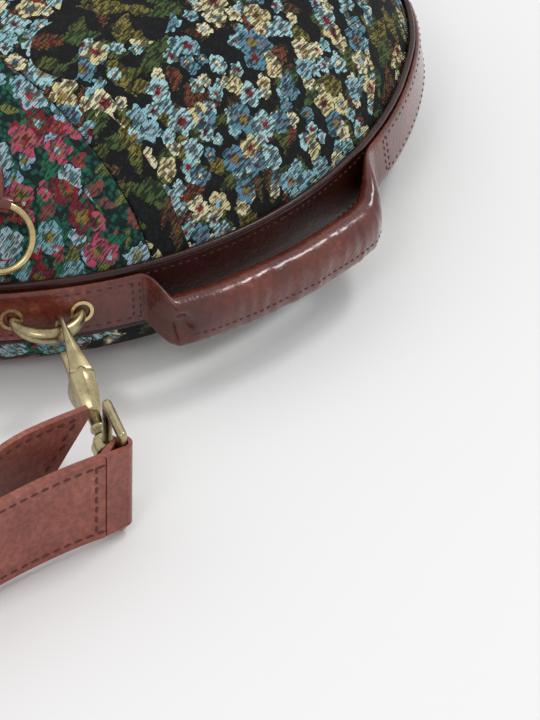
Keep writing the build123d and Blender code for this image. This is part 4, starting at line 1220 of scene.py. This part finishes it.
@dataclass
class StrapSewing:
    """The thread along the shoulder straps: rows inside both edges and across each fold."""

    low: float = 8.2
    high: float = 41.8
    pitch: float = 5.0
    slant: float = 0.25

    def walk(self, knots: Section, step: float = 2.0) -> Line:
        """Points and flat normals along a smooth line through the knots.

        Args:
            knots: Points of the strap's run in millimetres.
            step: Spacing of the result in millimetres.

        Returns:
            The points and the unit normals, both flat.
        """
        ends = [knots[0], *knots, knots[-1]]
        out = []
        for a, b, c, d in zip(ends, ends[1:], ends[2:], ends[3:]):
            p0, p1, p2, p3 = (Vector((*p, 0)) for p in (a, b, c, d))
            speed, bow, twist = p2 - p0, 2 * p0 - 5 * p1 + 4 * p2 - p3, 3 * p1 - p0 - 3 * p2 + p3
            count = max(2, int((p2 - p1).length / step))
            for i in range(count):
                t = i / count
                spot = 0.5 * (2 * p1 + speed * t + bow * t * t + twist * t ** 3)
                way = 0.5 * (speed + 2 * bow * t + 3 * twist * t * t)
                out.append((spot, Vector((way.y, -way.x, 0)).normalized()))
        return out

    def lay(self, strap: bpy.types.Object, rows: Stitches, spots: Line, heights: Sequence[float]) -> None:
        """Lays one row on each side of a strap where the leather really is.

        Args:
            strap: The strap's own surface.
            rows: The stitches being made.
            spots: Points and normals along the row, flat.
            heights: The row's height at each point.
        """
        for side in (-1, 1):
            line = []
            for (spot, normal), height in zip(spots, heights):
                start = (spot + normal * side * 7.0 + Vector((0, 0, height))) * MM
                hit, where, facing, _ = strap.ray_cast(start, normal * -side, distance=0.012)
                if hit:
                    line.append((where / MM, facing))
                elif len(line) > 1:
                    rows.row(line, self.pitch, self.slant)
                    line = []
            if len(line) > 1:
                rows.row(line, self.pitch, self.slant)

    def build(self, frame: dict, finishes: Finishes) -> None:
        """Sews both straps.

        Args:
            frame: The loaded frame.
            finishes: The bag's materials.
        """
        bpy.context.view_layer.update()
        for name, knots, cross in (("short", SHORT_RUN, (3, -4)), ("long", LONG_RUN, (-4,))):
            strap = frame["nodes"][f"shoulder_strap_{name}"]
            rows = Stitches(f"{name}_strap_stitches", finishes.get("cord"), (3.7, 1.4, 0.9))
            spots = self.walk(knots)
            for height in (self.low, self.high):
                inside = [spot for spot in spots if name == "short" or spot[0].y < self.tip(height) - 2.0]
                self.lay(strap, rows, inside, [height] * len(inside))
            heights = [self.low + (self.high - self.low) * i / 12 for i in range(13)]
            for index in cross:
                self.lay(strap, rows, [spots[index]] * 13, heights)
            if name == "long":
                slant = [self.tongue(spots, height) for height in heights]
                self.lay(strap, rows, slant, heights)
            rows.build("bag", "strap_leather")
        LOG.info("sewed the shoulder straps")

    def tip(self, height: float) -> float:
        """How far along Y the long strap's slanting end lies at a height."""
        return LONG_RUN[0][1] - TONGUE_SLANT * (STRAP_LOW + STRAP_TALL - height) / STRAP_TALL

    def tongue(self, spots: Line, height: float) -> tuple[Vector, Vector]:
        """The point of the strap's run that lies just inside its slanting end."""
        wanted = self.tip(height) - 3.5
        return min(spots[:60], key=lambda item: abs(item[0].y - wanted))


@dataclass
class Studio:
    """A pale floor, soft even light and the camera of the picture."""

    eye: Point = (1.3193, -1.0637, 1.2267)
    target: Point = (0.331, -0.067, 0.049)
    roll_deg: float = -1.7
    lens_mm: float = 235.4
    sky: float = 0.86
    # Each lamp's place, size and power
    lamps: tuple[tuple[Point, float, float], ...] = (
        ((0.32, 1.25, 2.1), 0.45, 13.0),
        ((0.9, -1.5, 1.9), 0.6, 6.0),
    )

    def build(self) -> None:
        """Adds the floor, the lamps, the world and the camera."""
        floor_graph = Graph("studio_floor")
        floor = floor_graph.finish(srgb("#ECECEC"), Roughness=0.9)
        bpy.ops.mesh.primitive_plane_add(size=8.0, location=(0, 0, -0.0002))
        plane = bpy.context.active_object
        plane.name = "studio_floor"
        plane.data.materials.append(floor)
        bpy.ops.object.transform_apply(location=True, rotation=True, scale=True)
        world = bpy.data.worlds.new("studio")
        bpy.context.scene.world = world
        world.use_nodes = True
        world.node_tree.nodes["Background"].inputs[0].default_value = (1, 1, 1, 1)
        world.node_tree.nodes["Background"].inputs[1].default_value = self.sky
        for place, size, power in self.lamps:
            bpy.ops.object.light_add(type="AREA", location=place)
            lamp = bpy.context.active_object
            lamp.data.size = size
            lamp.data.energy = power
            lamp.rotation_euler = (Vector(self.target) - Vector(place)).to_track_quat("-Z", "Y").to_euler()
        data = bpy.data.cameras.new("picture_camera")
        data.sensor_fit = "AUTO"
        data.sensor_width = 36.0
        data.lens = self.lens_mm
        camera = bpy.data.objects.new("picture_camera", data)
        bpy.context.scene.collection.objects.link(camera)
        aim = (Vector(self.target) - Vector(self.eye)).to_track_quat("-Z", "Y").to_matrix().to_4x4()
        turn = Matrix.Rotation(math.radians(-self.roll_deg), 4, "Z")
        camera.matrix_world = Matrix.Translation(self.eye) @ aim @ turn
        bpy.context.scene.camera = camera
        bpy.context.scene.view_settings.view_transform = "Standard"


def dress_nodes(frame: dict, finishes: Finishes) -> None:
    """Gives every CAD node that still shows its finish.

    Args:
        frame: The loaded frame.
        finishes: The bag's materials.
    """
    rules = {
        "edge": ("binding",),
        "band": ("gusset_band",),
        "lining": ("lining", "core", "zip_tape"),
        "bright": ("eyelet", "carry_ring"),
        "grip": ("chape", "carry_handle", "side_strap"),
        "strap": ("shoulder", "keeper"),
        "main": ("main_panel",),
        "yoke": ("yoke_panel",),
    }
    for name, node in frame["nodes"].items():
        wanted = next((finish for finish, keys in rules.items() if any(key in name for key in keys)), "brass")
        for place in node.material_slots:
            place.material = finishes.get(wanted)
        if not node.material_slots:
            node.data.materials.append(finishes.get(wanted))


def write_sizes() -> None:
    """Updates the view layer.
    """
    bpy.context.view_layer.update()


def main() -> None:
    """Builds and dresses the whole bag."""
    logging.basicConfig(level=logging.INFO, format="%(name)s %(message)s")
    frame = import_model()
    bpy.ops.object.select_all(action="DESELECT")
    finishes = Finishes()
    Studio().build()
    dress_nodes(frame, finishes)
    TapestryFace(True, ((0, -86, 0), (110, -80, 0), (175, -68, 0), (270, -58, 0)), 9.0).build(finishes)
    TapestryFace(False, ((0, -85, 0), (270, -85, 0)), 0.0).build(finishes)
    LeatherBand().build(finishes)
    for end in End:
        SideStrap(end).build(finishes)
        SnapHook(end).build(finishes)
    StrapSewing().build(frame, finishes)
    write_sizes()
    LOG.info("done")


if __name__ == "__main__":
    main()
